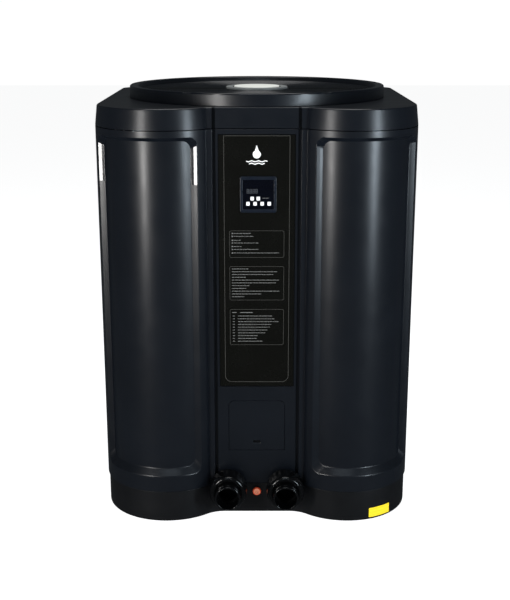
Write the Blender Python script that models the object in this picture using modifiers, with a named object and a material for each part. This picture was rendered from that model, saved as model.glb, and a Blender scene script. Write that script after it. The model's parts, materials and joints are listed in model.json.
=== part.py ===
"""A free-standing pool heat pump that blows its air out of the top.

The frame is in metres with +Z up and -Y to the front, and its origin is at floor level under the
middle of the object. Two round columns flank a set-back centre panel, a wrapped coil draws air in
through guards at the sides and rear, and a fan under the round grille lifts it out. Pool water
comes and goes through two pipe unions at the foot of the centre panel.

Plan positions are given on the casing's outline. "Depth" is always measured inwards from it.
"""

import math

import bmesh
import bpy
from mathutils import Matrix, Vector

# Casing outline, seen from above
HALF_WIDTH = 0.360
CASING_FRONT = -0.330
CASING_REAR = 0.330
COLUMN_RADIUS = 0.149
COLUMN_X = HALF_WIDTH - COLUMN_RADIUS
COLUMN_Y = CASING_FRONT + COLUMN_RADIUS
REAR_CORNER = 0.050
CENTRE_FACE_Y = -0.280
CENTRE_HALF = 0.090
GROOVE = 0.0068
LAND_Y = -0.285
LAND_WIDTH = 0.0125
COLUMN_INNER_X = 0.1115
WALL = 0.004
FIT = 0.0003

# Heights
SKIRT_BOTTOM = 0.001
BASE_TOP = 0.0745
LIP_TOP = 0.088
BODY_BOTTOM = 0.0765
BODY_TOP = 0.9025
LID_BOTTOM = 0.9040
LID_TOP = 0.9490
BASE_INSET = 0.003
LIP_INSET = 0.005
LID_DRAFT = 0.0045
FOOT_HEIGHT = 0.012

# Sunk faces of the columns: each is a shallow recess with tapered sides and a sloping sill
WINDOW_DEPTH = 0.012
WINDOW_ANGLES = (-34.5, 68.0)
WINDOW_INNER_RUN = 0.0126
WINDOW_OUTER_RUN = 0.0095
WINDOW_TOP = 0.889
WINDOW_BOTTOM = 0.113
WINDOW_SILL_RUN = 0.019
WINDOW_CORNER = 0.020
WINDOW_MARGIN = 0.005
ARC_STEP = math.radians(6.0)

# Side and rear openings
COLUMN_END_Y = -0.110
REAR_POST_Y = 0.264
REAR_POST_X = 0.290
GUARD_DEPTH = (0.005, 0.013)
GUARD_BOTTOM = 0.090
GUARD_TOP = 0.896
GUARD_GAP = 0.001
GUARD_STILE = 0.014
SLAT_PITCH = 0.0400
SLAT_HEIGHT = 0.0075

# Fan, ring and grille
FAN_Y = 0.030
RING_RADIUS = 0.304
RING_TOP = 0.977
RIM_INNER = 0.283
DUCT_RADIUS = 0.276
DUCT_BOTTOM = 0.850
LID_HOLE = 0.285
GRILLE_Z = (0.9625, 0.9665)
GRILLE_HOOPS = 6
GRILLE_WIRE = 0.0035
GRILLE_BARS = 6
GRILLE_BAR_RADIUS = 0.0031
CAP_RADIUS = 0.074
CAP_HEIGHT = 0.005
BADGE_RADIUS = 0.057
BADGE_THICK = 0.0012
FAN_RADIUS = 0.262
HUB_RADIUS = 0.058
HUB_Z = (0.872, 0.928)
HUB_BORE = 0.0085
BLADES = 4
BLADE_THICK = 0.003
SHAFT_RADIUS = 0.0080
MOTOR_RADIUS = 0.062
MOTOR_Z = (0.762, 0.840)

# Centre panel, its label and the controller
PANEL_DEPTH = 0.009
FLANGE_THICK = 0.003
LABEL_Z = (0.317, 0.8905)
LABEL_HALF = 0.0835
LABEL_RECESS = 0.004
LABEL_THICK = 0.002
RECESS_MARGIN = 0.0010
DISPLAY_X = 0.0032
DISPLAY_Z = 0.7605
DISPLAY_SIZE = 0.080
DISPLAY_OPENING = DISPLAY_SIZE / 2 - 0.0035
BEZEL_PROUD = 0.003
BEZEL_DEPTH = 0.016
SCREEN_WIDTH = 0.068
SCREEN_HEIGHT = 0.065
BOARD_THICK = 0.0016
BUTTON_WIDTH = 0.0092
BUTTON_HEIGHT = 0.0096
BUTTON_DEPTH = 0.0060
BUTTON_PROUD = 0.0012
BUTTON_GAP = 0.0004
BUTTON_PLACES = {
    "button_up": (-0.0133, -0.009),
    "button_down": (0.0, -0.009),
    "button_power": (-0.0225, -0.0204),
    "button_mode": (-0.0070, -0.0204),
    "button_timer": (0.0085, -0.0204),
    "button_menu": (0.0240, -0.0204),
}

# Wiring hatch
HATCH_HALF = 0.064
HATCH_Z = (0.160, 0.281)
HATCH_THICK = 0.003
HATCH_CORNER = 0.012
HATCH_GAP = 0.0008
HATCH_LEDGE = 0.008
HINGE_PIN_RADIUS = 0.0012
NOTCH_Z = (0.175, 0.184)

# Water unions and the drain
UNION_X = 0.0665
UNION_Z = 0.072
BORE_RADIUS = 0.0250
TAIL_RADIUS = 0.0295
SPIGOT_RADIUS = 0.0330
NUT_RADIUS = 0.0445
UNION_HOLE = 0.0340
SEAL_RADII = (0.0255, 0.0320)
THROAT_RADIUS = 0.0220
UNION_FRONT = -0.359
DRAIN_Z = 0.0555

# Machinery
COIL_DEPTH = (0.030, 0.058)
COIL_Z = (0.092, 0.842)
BRACKET_Z = (0.8423, 0.8493)
COMPRESSOR_AT = (0.150, 0.100)
COMPRESSOR_RADIUS = 0.075
EXCHANGER_AT = (-0.140, 0.030)
EXCHANGER_RADIUS = 0.100
GLAND_AT = (0.250, 0.048)
GLAND_END_Y = 0.359
GLAND_RADII = (0.0060, 0.0100, 0.0145, 0.0130)


# ---------------------------------------------------------------- materials

def material(name, colour, roughness, metallic=0.0):
    made = bpy.data.materials.new(name)
    made.use_nodes = True
    shader = made.node_tree.nodes["Principled BSDF"]
    shader.inputs["Base Color"].default_value = (*colour, 1.0)
    shader.inputs["Roughness"].default_value = roughness
    shader.inputs["Metallic"].default_value = metallic
    return made


def make_materials():
    return {
        "casing": material("casing_black", (0.014, 0.016, 0.022), 0.30),
        "base": material("base_black", (0.012, 0.013, 0.015), 0.38),
        "label": material("label_black", (0.008, 0.008, 0.007), 0.25),
        "bezel": material("bezel_slate", (0.020, 0.026, 0.040), 0.35),
        "screen": material("screen_blue", (0.004, 0.008, 0.022), 0.10),
        "button": material("button_white", (0.80, 0.80, 0.80), 0.40),
        "union": material("union_black", (0.010, 0.010, 0.011), 0.22),
        "drain": material("drain_orange", (0.85, 0.10, 0.03), 0.35),
        "sticker": material("sticker_yellow", (0.90, 0.72, 0.02), 0.45),
        "badge": material("badge_white", (0.78, 0.78, 0.72), 0.40),
        "rubber": material("rubber_black", (0.015, 0.015, 0.015), 0.80),
        "fins": material("coil_fins", (0.62, 0.64, 0.66), 0.35, 0.9),
        "steel": material("zinc_steel", (0.55, 0.56, 0.57), 0.40, 0.9),
        "motor": material("motor_black", (0.03, 0.03, 0.03), 0.50),
        "copper": material("copper_pipe", (0.60, 0.25, 0.12), 0.30, 1.0),
        "pvc": material("pvc_grey", (0.18, 0.19, 0.20), 0.45),
        "board": material("board_green", (0.01, 0.10, 0.04), 0.50),
    }


# ---------------------------------------------------------------- modelling helpers

def start_scene():
    for old in list(bpy.data.objects):
        bpy.data.objects.remove(old)
    parts = bpy.data.collections.new("pool_heat_pump")
    cutters = bpy.data.collections.new("cutters")
    for collection in (parts, cutters):
        bpy.context.scene.collection.children.link(collection)
    return parts, cutters


def add_object(name, data, look=None):
    """Puts a mesh or curve in the object's collection."""
    made = bpy.data.objects.new(name, data)
    PARTS.objects.link(made)
    if look:
        data.materials.append(LOOKS[look])
    return made


def from_bmesh(name, shape, look=None):
    bmesh.ops.recalc_face_normals(shape, faces=shape.faces)
    mesh = bpy.data.meshes.new(name)
    shape.to_mesh(mesh)
    shape.free()
    return add_object(name, mesh, look)


def box(name, low, high, look=None):
    shape = bmesh.new()
    size = Vector(high) - Vector(low)
    centre = (Vector(high) + Vector(low)) / 2
    bmesh.ops.create_cube(shape, size=1.0, matrix=Matrix.Translation(centre) @ Matrix.Diagonal((*size, 1.0)))
    return from_bmesh(name, shape, look)


def rod(name, start, end, radius, look=None, segments=24, end_radius=None):
    """A cylinder, or a cone where end_radius is given, from start to end."""
    start, end = Vector(start), Vector(end)
    turn = (end - start).to_track_quat("Z", "Y").to_matrix().to_4x4()
    shape = bmesh.new()
    bmesh.ops.create_cone(
        shape,
        cap_ends=True,
        segments=segments,
        radius1=radius,
        radius2=radius if end_radius is None else end_radius,
        depth=(end - start).length,
        matrix=Matrix.Translation((start + end) / 2) @ turn,
    )
    return from_bmesh(name, shape, look)


def smooth(made, degrees=35):
    """Shades a round piece smooth, with its real corners kept sharp."""
    made.data.shade_smooth()
    made.data.set_sharp_from_angle(angle=math.radians(degrees))
    return made


def turned(name, profile, place, look, steps=32, along_y=False):
    """A closed (radius, height) profile, listed down its outer side, turned about the axis through place."""
    shape = bmesh.new()
    points = [shape.verts.new((radius, 0.0, height)) for radius, height in profile]
    ring = zip(points, points[1:] + points[:1])
    for first, second in ring:
        shape.edges.new((first, second))
    mesh = bpy.data.meshes.new(name)
    shape.to_mesh(mesh)
    shape.free()
    made = add_object(name, mesh, look)
    screw = made.modifiers.new("turn", "SCREW")
    screw.steps = screw.render_steps = steps
    screw.use_merge_vertices = True
    screw.merge_threshold = 0.00001
    made.location = place
    if along_y:
        made.rotation_euler = (math.radians(90), 0.0, 0.0)
    return made


def as_mesh(curve, look=None):
    """The mesh of a curve object, with its caps welded, in the curve's place."""
    bpy.context.view_layer.update()
    graph = bpy.context.evaluated_depsgraph_get()
    mesh = bpy.data.meshes.new_from_object(curve.evaluated_get(graph))
    mesh.transform(curve.matrix_world)
    shape = bmesh.new()
    shape.from_mesh(mesh)
    bmesh.ops.remove_doubles(shape, verts=shape.verts, dist=0.00001)
    shape.to_mesh(mesh)
    shape.free()
    mesh.materials.clear()
    name = curve.name
    bpy.data.objects.remove(curve)
    return add_object(name, mesh, look)


def outline_curve(name, points, height, closed):
    flat = bpy.data.curves.new(name, "CURVE")
    flat.dimensions = "2D"
    flat.fill_mode = "BOTH" if closed else "NONE"
    flat.extrude = height / 2
    line = flat.splines.new("POLY")
    line.points.add(len(points) - 1)
    for point, (x, y) in zip(line.points, points):
        point.co = (x, y, 0.0, 1.0)
    line.use_cyclic_u = closed
    return add_object(name, flat)


def prism(name, points, bottom, top, look=None):
    """An outline in plan, filled, between two heights."""
    made = outline_curve(name, points, top - bottom, closed=True)
    made.location.z = (bottom + top) / 2
    return as_mesh(made, look)


def ribbon(name, path, bottom, top, thickness, look):
    """A wall that follows an open path in plan. The path runs with the outside on its right."""
    made = outline_curve(name, path, top - bottom, closed=False)
    made.location.z = (bottom + top) / 2
    made = as_mesh(made, look)
    shape = bmesh.new()
    shape.from_mesh(made.data)
    bmesh.ops.recalc_face_normals(shape, faces=shape.faces)
    edge = Vector(path[1]) - Vector(path[0])
    outwards = Vector((edge.y, -edge.x, 0.0))
    first = min(shape.faces, key=lambda f: (f.calc_center_median().xy - Vector(path[0])).length)
    if first.normal.dot(outwards) < 0:
        bmesh.ops.reverse_faces(shape, faces=shape.faces)
    shape.to_mesh(made.data)
    shape.free()
    solid = made.modifiers.new("wall", "SOLIDIFY")
    solid.thickness = thickness
    solid.offset = -1.0
    solid.use_even_offset = True
    return made


def boolean(made, operation, others):
    for other in others:
        modifier = made.modifiers.new(f"{operation.lower()} {other.name}", "BOOLEAN")
        modifier.operation = operation
        modifier.solver = "EXACT"
        modifier.object = other
        other.hide_render = True
        other.display_type = "WIRE"
        if other.name in PARTS.objects:
            PARTS.objects.unlink(other)
            CUTTERS.objects.link(other)
    return made


def cut(made, *others):
    return boolean(made, "DIFFERENCE", others)


def join(made, *others):
    return boolean(made, "UNION", others)


def tube(name, points, radius, look, resolution=2):
    """A round bar or pipe along points, with closed ends."""
    path = bpy.data.curves.new(name, "CURVE")
    path.dimensions = "3D"
    path.bevel_depth = radius
    path.bevel_resolution = resolution
    path.use_fill_caps = True
    line = path.splines.new("POLY")
    line.points.add(len(points) - 1)
    for point, place in zip(line.points, points):
        point.co = (*place, 1.0)
    return add_object(name, path, look)


def rounded_route(corners, radius, steps=4):
    """A pipe's route through its corners, with each bend an arc of the given radius."""
    corners = [Vector(c) for c in corners]
    route = [corners[0]]
    for before, corner, after in zip(corners, corners[1:], corners[2:]):
        back = (before - corner).normalized()
        ahead = (after - corner).normalized()
        half = back.angle(ahead) / 2
        reach = radius / math.tan(half)
        centre = corner + (back + ahead).normalized() * radius / math.sin(half)
        start = corner + back * reach - centre
        sweep = math.pi - 2 * half
        axis = start.cross(corner + ahead * reach - centre).normalized()
        for k in range(steps + 1):
            turn = Matrix.Rotation(sweep * k / steps, 3, axis)
            route.append(centre + turn @ start)
    route.append(corners[-1])
    return route


# ---------------------------------------------------------------- the outline in plan

def arc(centre, radius, start, end, step=ARC_STEP):
    """Points round an arc. Angles are in radians from -Y, positive towards +X."""
    count = max(1, math.ceil(abs(end - start) / step - 0.01))
    angles = [start + (end - start) * k / count for k in range(count + 1)]
    return [(centre[0] + radius * math.sin(a), centre[1] - radius * math.cos(a)) for a in angles]


def column_start_angle():
    return -math.asin((COLUMN_X - COLUMN_INNER_X) / COLUMN_RADIUS)


def column_path(side_end_y):
    """The right column's outer line, from the groove by the centre panel round to the side."""
    groove_edge = CENTRE_HALF + GROOVE
    path = [(groove_edge, LAND_Y + 0.022), (groove_edge, LAND_Y), (groove_edge + LAND_WIDTH, LAND_Y)]
    path += arc((COLUMN_X, COLUMN_Y), COLUMN_RADIUS, column_start_angle(), math.pi / 2)
    return path + [(HALF_WIDTH, side_end_y)]


def rear_corner(inset):
    centre = (HALF_WIDTH - REAR_CORNER, CASING_REAR - REAR_CORNER)
    return arc(centre, REAR_CORNER - inset, math.pi / 2, math.pi, math.radians(15))


def lid_half(inset):
    """Half of the lid's outline, from the middle of the front to the rear. The grooves are part of it."""
    front = [(CENTRE_HALF - inset, CENTRE_FACE_Y + inset)]
    if inset == 0:
        groove_floor = CENTRE_FACE_Y + 0.010
        groove_edge = CENTRE_HALF + GROOVE
        front += [(CENTRE_HALF, groove_floor), (groove_edge, groove_floor), (groove_edge, LAND_Y)]
        front += [(groove_edge + LAND_WIDTH, LAND_Y)]
    else:
        front = [(CENTRE_HALF + GROOVE, CENTRE_FACE_Y + 0.010 + inset)]
    centre = (COLUMN_X, COLUMN_Y)
    start = column_start_angle() + (0.0 if inset == 0 else math.radians(6))
    return front + arc(centre, COLUMN_RADIUS - inset, start, math.pi / 2) + rear_corner(inset)


def base_half(inset):
    """Half of the base's outline: the column runs into the centre face through a hollow fillet."""
    fillet = 0.060 + inset
    radius = COLUMN_RADIUS - inset
    face_y = CENTRE_FACE_Y + inset
    drop = COLUMN_Y - (face_y - fillet)
    reach = math.sqrt((radius + fillet) ** 2 - drop**2)
    centre = (COLUMN_X - reach, face_y - fillet)
    meet = math.asin(reach / (radius + fillet))
    hollow = arc(centre, fillet, math.pi, math.pi - meet)
    return hollow[:-1] + arc((COLUMN_X, COLUMN_Y), radius, -meet, math.pi / 2) + rear_corner(inset)


def both_halves(half):
    return half + [(-x, y) for x, y in reversed(half)]


def on_column(along, depth):
    """The plan point at a distance along the right column from its front-most line, and at a depth."""
    angle = along / COLUMN_RADIUS
    radius = COLUMN_RADIUS - depth
    return COLUMN_X + radius * math.sin(angle), COLUMN_Y - radius * math.cos(angle)


def wrapped(name, outer, inner, corner, look=None):
    """A rounded plate bent round the right column.

    outer and inner are (along from, along to, bottom, top, depth) at the plate's two faces.
    """
    shape = bmesh.new()
    loops = []
    for low, high, bottom, top, depth in (outer, inner):
        loop = []
        corners = [(high, top, 0), (low, top, 1), (low, bottom, 2), (high, bottom, 3)]
        for x, z, quarter in corners:
            inward_x = -1 if quarter in (0, 3) else 1
            inward_z = -1 if quarter in (0, 1) else 1
            for k in range(4):
                angle = (quarter + k / 3) * math.pi / 2
                across = x + corner * (inward_x + math.cos(angle))
                up = z + corner * (inward_z + math.sin(angle))
                loop.append(shape.verts.new((across, depth, up)))
        loops.append([shape.edges.new(pair) for pair in zip(loop, loop[1:] + loop[:1])])
    bmesh.ops.bridge_loops(shape, edges=loops[0] + loops[1])
    for edges in loops:
        bmesh.ops.contextual_create(shape, geom=edges)
    low, high = min(outer[0], inner[0]), max(outer[1], inner[1])
    count = math.ceil((high - low) / (COLUMN_RADIUS * ARC_STEP))
    for k in range(1, count):
        bmesh.ops.bisect_plane(
            shape,
            geom=shape.verts[:] + shape.edges[:] + shape.faces[:],
            plane_co=(low + (high - low) * k / count, 0.0, 0.0),
            plane_no=(1.0, 0.0, 0.0),
        )
    for vertex in shape.verts:
        vertex.co.x, vertex.co.y = on_column(vertex.co.x, vertex.co.y)
    return from_bmesh(name, shape, look)


def mirrored(made, name):
    """A left-hand copy of a right-hand piece, as a mesh of its own."""
    bpy.context.view_layer.update()
    graph = bpy.context.evaluated_depsgraph_get()
    mesh = bpy.data.meshes.new_from_object(made.evaluated_get(graph))
    mesh.transform(Matrix.Scale(-1.0, 4, (1.0, 0.0, 0.0)) @ made.matrix_world)
    mesh.flip_normals()
    mesh.name = name
    return add_object(name, mesh)


# ---------------------------------------------------------------- casing

def make_base():
    """A tray with a lip that the body stands over, and round notches for the two unions."""
    base = prism("base_pan", both_halves(base_half(BASE_INSET)), SKIRT_BOTTOM, BASE_TOP, "base")
    lip = prism("base_lip", both_halves(base_half(LIP_INSET)), BASE_TOP - 0.002, LIP_TOP)
    join(base, lip)
    inside = both_halves(base_half(LIP_INSET + WALL))
    floor_bottom = FOOT_HEIGHT + FIT
    above = prism("cut_base_above", inside, floor_bottom + WALL, LIP_TOP + 0.01)
    below = prism("cut_base_below", inside, SKIRT_BOTTOM - 0.01, floor_bottom)
    reach = COLUMN_INNER_X + 0.007
    front_lip = box("cut_base_lip", (-reach, -0.35, BASE_TOP), (reach, -0.20, LIP_TOP + 0.01))
    cut(base, above, below, front_lip)
    for side, name in ((-1, "left"), (1, "right")):
        x = side * UNION_X
        cut(base, union_hole(f"cut_base_union_{name}", x, -0.30))
    cut(base, rod("cut_base_drain", (0, -0.30, DRAIN_Z), (0, -0.25, DRAIN_Z), 0.0090))
    gland_x, gland_z = GLAND_AT
    cut(base, rod("cut_base_gland", (gland_x, 0.30, gland_z), (gland_x, 0.34, gland_z), 0.0105))
    return base


def make_feet():
    places = {
        "foot_front_left": (-0.235, -0.200),
        "foot_front_right": (0.235, -0.200),
        "foot_rear_left": (-0.270, 0.240),
        "foot_rear_right": (0.270, 0.240),
    }
    for name, (x, y) in places.items():
        smooth(rod(name, (x, y, 0), (x, y, FOOT_HEIGHT), 0.030, "rubber", 32, 0.026))


def make_column():
    """The right column's shell. It is thick behind the recess, so that the recess can be cut into it."""
    column = ribbon("front_right_column", column_path(COLUMN_END_Y), BODY_BOTTOM, BODY_TOP, WALL, "casing")
    low, high = (COLUMN_RADIUS * math.radians(a) for a in WINDOW_ANGLES)
    margin = WINDOW_MARGIN
    face = (low - margin, high + margin, WINDOW_BOTTOM - margin, WINDOW_TOP + margin)
    backing = wrapped("recess_backing", (*face, 0.002), (*face, WINDOW_DEPTH + WALL), WINDOW_CORNER)
    recess = []
    for depth in (-0.004, WINDOW_DEPTH):
        share = depth / WINDOW_DEPTH
        inner, outer = low + WINDOW_INNER_RUN * share, high - WINDOW_OUTER_RUN * share
        recess.append((inner, outer, WINDOW_BOTTOM + WINDOW_SILL_RUN * share, WINDOW_TOP, depth))
    join(column, backing)
    cut(column, wrapped("cut_recess", *recess, WINDOW_CORNER))
    return cut(column, union_hole("cut_column_union", UNION_X, -0.32))


def union_hole(name, x, front):
    """A cutter for the round opening that a union passes through."""
    return rod(name, (x, front, UNION_Z), (x, -0.24, UNION_Z), UNION_HOLE)


def make_rear_post():
    path = [(HALF_WIDTH, REAR_POST_Y), *rear_corner(0), (REAR_POST_X, CASING_REAR)]
    return ribbon("rear_right_post", path, BODY_BOTTOM, BODY_TOP, WALL, "casing")


def guard(name, low, high, look="casing"):
    """A louvred guard: a frame, a middle mullion and level slats. It is thin along X or along Y."""
    thin = 0 if high[0] - low[0] < high[1] - low[1] else 1
    wide = 1 - thin
    made = box(name, low, high, look)
    middle = (low[wide] + high[wide]) / 2
    first_bay = (low[wide] + GUARD_STILE, middle - GUARD_STILE / 2)
    second_bay = (middle + GUARD_STILE / 2, high[wide] - GUARD_STILE)
    span = high[2] - low[2] - 2 * GUARD_STILE + SLAT_HEIGHT
    rows = round(span / SLAT_PITCH)
    pitch = span / rows
    shape = bmesh.new()
    for start, end in (first_bay, second_bay):
        for row in range(rows):
            bottom = low[2] + GUARD_STILE + row * pitch
            centre, size = [0.0] * 3, [0.0] * 3
            centre[thin], size[thin] = (low[thin] + high[thin]) / 2, 0.04
            centre[wide], size[wide] = (start + end) / 2, end - start
            centre[2], size[2] = bottom + (pitch - SLAT_HEIGHT) / 2, pitch - SLAT_HEIGHT
            place = Matrix.Translation(centre) @ Matrix.Diagonal((*size, 1.0))
            bmesh.ops.create_cube(shape, size=1.0, matrix=place)
    return cut(made, from_bmesh(f"cut_{name}", shape))


def make_guards():
    near, far = GUARD_DEPTH
    side = ((HALF_WIDTH - far, COLUMN_END_Y + GUARD_GAP), (HALF_WIDTH - near, REAR_POST_Y - GUARD_GAP))
    guard("right_coil_guard", (*side[0], GUARD_BOTTOM), (*side[1], GUARD_TOP))
    guard("left_coil_guard", (-side[1][0], side[0][1], GUARD_BOTTOM), (-side[0][0], side[1][1], GUARD_TOP))
    reach = REAR_POST_X - GUARD_GAP
    front, rear = CASING_REAR - far, CASING_REAR - near
    guard("rear_coil_guard", (-reach, front, GUARD_BOTTOM), (reach, rear, GUARD_TOP))


def make_lid():
    lid = prism("top_cover", both_halves(lid_half(0)), LID_BOTTOM, LID_TOP, "casing")
    for vertex in lid.data.vertices:
        if vertex.co.z > LID_BOTTOM + WALL:
            vertex.co.x *= 1 - LID_DRAFT / HALF_WIDTH
            vertex.co.y *= 1 - LID_DRAFT / CASING_REAR
    below, above = LID_BOTTOM - 0.01, LID_TOP + 0.01
    inside = prism("cut_lid_inside", both_halves(lid_half(WALL + LID_DRAFT)), below, LID_TOP - WALL)
    hole = rod("cut_lid_hole", (0, FAN_Y, below), (0, FAN_Y, above), LID_HOLE, segments=64)
    return cut(lid, inside, hole)


# ---------------------------------------------------------------- fan and grille

def make_ring():
    """The round collar on the lid, with a rounded rim, and the duct that the fan turns in."""
    profile = [
        (RING_RADIUS - 0.003, RING_TOP),
        (RING_RADIUS, RING_TOP - 0.003),
        (RING_RADIUS, LID_TOP + FIT),
        (DUCT_RADIUS + 0.006, LID_TOP + FIT),
        (DUCT_RADIUS + 0.004, DUCT_BOTTOM),
        (DUCT_RADIUS, DUCT_BOTTOM),
        (DUCT_RADIUS + 0.002, RING_TOP - 0.016),
        (RIM_INNER, RING_TOP - 0.004),
        (RIM_INNER + 0.004, RING_TOP),
    ]
    return smooth(turned("fan_ring", profile, (0, FAN_Y, 0), "casing", 56))


def make_grille():
    """Wires in rings round a cap, tied by straight bars to an outer hoop that drops into the collar."""
    low, high = GRILLE_Z
    outer = DUCT_RADIUS + 0.0005
    inner = CAP_RADIUS - 0.008
    grille = None
    for k in range(GRILLE_HOOPS):
        radius = inner + (outer - inner) * k / (GRILLE_HOOPS - 1)
        wall = GRILLE_WIRE if 0 < k < GRILLE_HOOPS - 1 else 0.007
        near, far = max(radius - wall, inner), max(radius, inner + wall)
        section = [(far, high), (far, low), (near, low), (near, high)]
        hoop = turned("fan_grille" if k == 0 else f"hoop_{k}", section, (0, FAN_Y, 0), "casing", 32)
        grille = grille or hoop
        if hoop is not grille:
            join(grille, hoop)
    for k in range(GRILLE_BARS):
        angle = 2 * math.pi * (k + 0.55) / GRILLE_BARS
        across, along = math.cos(angle), math.sin(angle)
        ends = [(r * across, FAN_Y + r * along, low) for r in (inner + 0.002, outer - 0.002)]
        join(grille, rod(f"grille_bar_{k}", *ends, GRILLE_BAR_RADIUS, segments=8))
    return grille


def make_cap():
    """The blank disc over the fan motor, and the pale badge on it."""
    seat = GRILLE_Z[1] + FIT
    top = GRILLE_Z[1] + CAP_HEIGHT
    cap = [
        (CAP_RADIUS - 0.002, top), (CAP_RADIUS, top - 0.002), (CAP_RADIUS, seat),
        (0, seat), (0, top),
    ]
    smooth(turned("grille_cap", cap, (0, FAN_Y, 0), "badge", 36))
    under = top + FIT
    over = under + BADGE_THICK
    badge = [(BADGE_RADIUS, over), (BADGE_RADIUS, under), (0, under), (0, over)]
    smooth(turned("grille_badge", badge, (0, FAN_Y, 0), "badge", 36))


def blade(name, angle):
    """One fan blade: a curved sheet that is twisted less towards its tip, given a thickness."""
    shape = bmesh.new()
    bmesh.ops.create_grid(shape, x_segments=6, y_segments=5, size=1.0)
    middle = sum(HUB_Z) / 2
    for vertex in shape.verts:
        out = (vertex.co.x + 1) / 2
        chord = vertex.co.y
        radius = HUB_RADIUS - 0.006 + (FAN_RADIUS - HUB_RADIUS + 0.006) * out
        sweep = math.radians(34 - 4 * out) * chord + math.radians(12) * out
        lift = 0.021 * chord + 0.006 * (1 - chord**2)
        vertex.co = (radius * math.cos(sweep), radius * math.sin(sweep), middle + lift)
    bmesh.ops.rotate(shape, verts=shape.verts, matrix=Matrix.Rotation(angle, 3, "Z"))
    mesh = bpy.data.meshes.new(name)
    shape.to_mesh(mesh)
    shape.free()
    made = add_object(name, mesh)
    made.location = (0, FAN_Y, 0)
    solid = made.modifiers.new("thickness", "SOLIDIFY")
    solid.thickness = BLADE_THICK
    solid.offset = 0.0
    return made


def make_fan():
    bottom, top = HUB_Z
    bore_end = top - 0.012
    hub = [
        (HUB_RADIUS - 0.006, top), (HUB_RADIUS, top - 0.006), (HUB_RADIUS, bottom),
        (HUB_BORE, bottom), (HUB_BORE, bore_end), (0, bore_end), (0, top),
    ]
    fan = turned("fan_impeller", hub, (0, FAN_Y, 0), "motor", 28)
    for k in range(BLADES):
        join(fan, blade(f"blade_{k}", 2 * math.pi * k / BLADES))
    low, high = MOTOR_Z
    shaft = ((0, FAN_Y, high + 0.0005), (0, FAN_Y, bore_end - 0.001))
    smooth(rod("fan_shaft", *shaft, SHAFT_RADIUS, "steel", 20))
    motor = [
        (0.040, high), (MOTOR_RADIUS, high - 0.008), (MOTOR_RADIUS, low + 0.006), (0.050, low),
        (0.0, low), (0.0, high),
    ]
    smooth(turned("fan_motor", motor, (0, FAN_Y, 0), "motor", 28))


def make_motor_bracket():
    """Two rails across the top of the coil, joined by the plate that the motor hangs from."""
    low, high = BRACKET_Z
    reach = HALF_WIDTH - COIL_DEPTH[0] - 0.003
    plate = ((-0.080, FAN_Y - 0.065, low + 0.001), (0.080, FAN_Y + 0.065, high - 0.001))
    bracket = box("motor_bracket", *plate, "steel")
    for k, y in enumerate((FAN_Y - 0.070, FAN_Y + 0.050)):
        join(bracket, box(f"rail_{k}", (-reach, y, low), (reach, y + 0.020, high)))
    hole = ((0, FAN_Y, low - 0.01), (0, FAN_Y, high + 0.01))
    return cut(bracket, rod("cut_bracket_hole", *hole, 0.0150, segments=20))


# ---------------------------------------------------------------- centre panel and controller

def make_front_panel():
    """The set-back panel between the columns: a recess for the label, and holes for what passes through."""
    back = CENTRE_FACE_Y + PANEL_DEPTH
    face = ((-CENTRE_HALF, CENTRE_FACE_Y, BODY_BOTTOM), (CENTRE_HALF, back, BODY_TOP))
    panel = box("front_panel", *face, "casing")
    reach = CENTRE_HALF + GROOVE - FIT
    flange = ((-reach, back - FLANGE_THICK, BODY_BOTTOM), (reach, back, BODY_TOP))
    join(panel, box("groove_flanges", *flange))
    half = LABEL_HALF + RECESS_MARGIN
    recess = box(
        "cut_label",
        (-half, CENTRE_FACE_Y - 0.01, LABEL_Z[0] - RECESS_MARGIN),
        (half, CENTRE_FACE_Y + LABEL_RECESS, LABEL_Z[1] + RECESS_MARGIN),
    )
    display = square("cut_display", DISPLAY_OPENING, CENTRE_FACE_Y - 0.01, back + 0.01)
    front, pin_z = CENTRE_FACE_Y - 0.01, hinge_line()[1]
    rebate = hatch_plate("cut_hatch_rebate", HATCH_GAP, front, CENTRE_FACE_Y + 0.0048)
    above = hatch_plate("cut_hatch_above", HATCH_GAP, front, back + 0.01, low=pin_z - 0.004)
    half = HATCH_HALF - HATCH_LEDGE
    through = box("cut_hatch_through", (-half, front, HATCH_Z[0] + HATCH_LEDGE), (half, back + 0.01, pin_z))
    pin_y, pin_z = hinge_line()
    ends = ((-0.0680, pin_y, pin_z), (0.0680, pin_y, pin_z))
    sockets = rod("cut_hatch_pins", *ends, HINGE_PIN_RADIUS + 0.0002, segments=16)
    cut(panel, recess, display, rebate, above, through, sockets)
    for side, name in ((-1, "left"), (1, "right")):
        x = side * UNION_X
        cut(panel, union_hole(f"cut_panel_union_{name}", x, -0.30))
    return panel


def hatch_plate(name, grow, front, back, look=None, low=None):
    """The hatch's outline, with round top corners, between two values of Y."""
    low, high = HATCH_Z[0] - grow if low is None else low, HATCH_Z[1] + grow
    half, corner = HATCH_HALF + grow, HATCH_CORNER
    outline = [(-half, low), (half, low)]
    for centre_x, start in ((half - corner, 0.0), (corner - half, math.pi / 2)):
        for k in range(5):
            angle = start + math.pi / 8 * k
            outline.append((centre_x + corner * math.cos(angle), high - corner + corner * math.sin(angle)))
    made = outline_curve(name, outline, back - front, closed=True)
    made.rotation_euler = (math.radians(90), 0.0, 0.0)
    made.location.y = (front + back) / 2
    return as_mesh(made, look)


def hinge_line():
    """(Y, Z) of the hatch's hinge, in the middle of its thickness and just under its top edge."""
    return CENTRE_FACE_Y + HATCH_THICK / 2, HATCH_Z[1] - HATCH_CORNER


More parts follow.
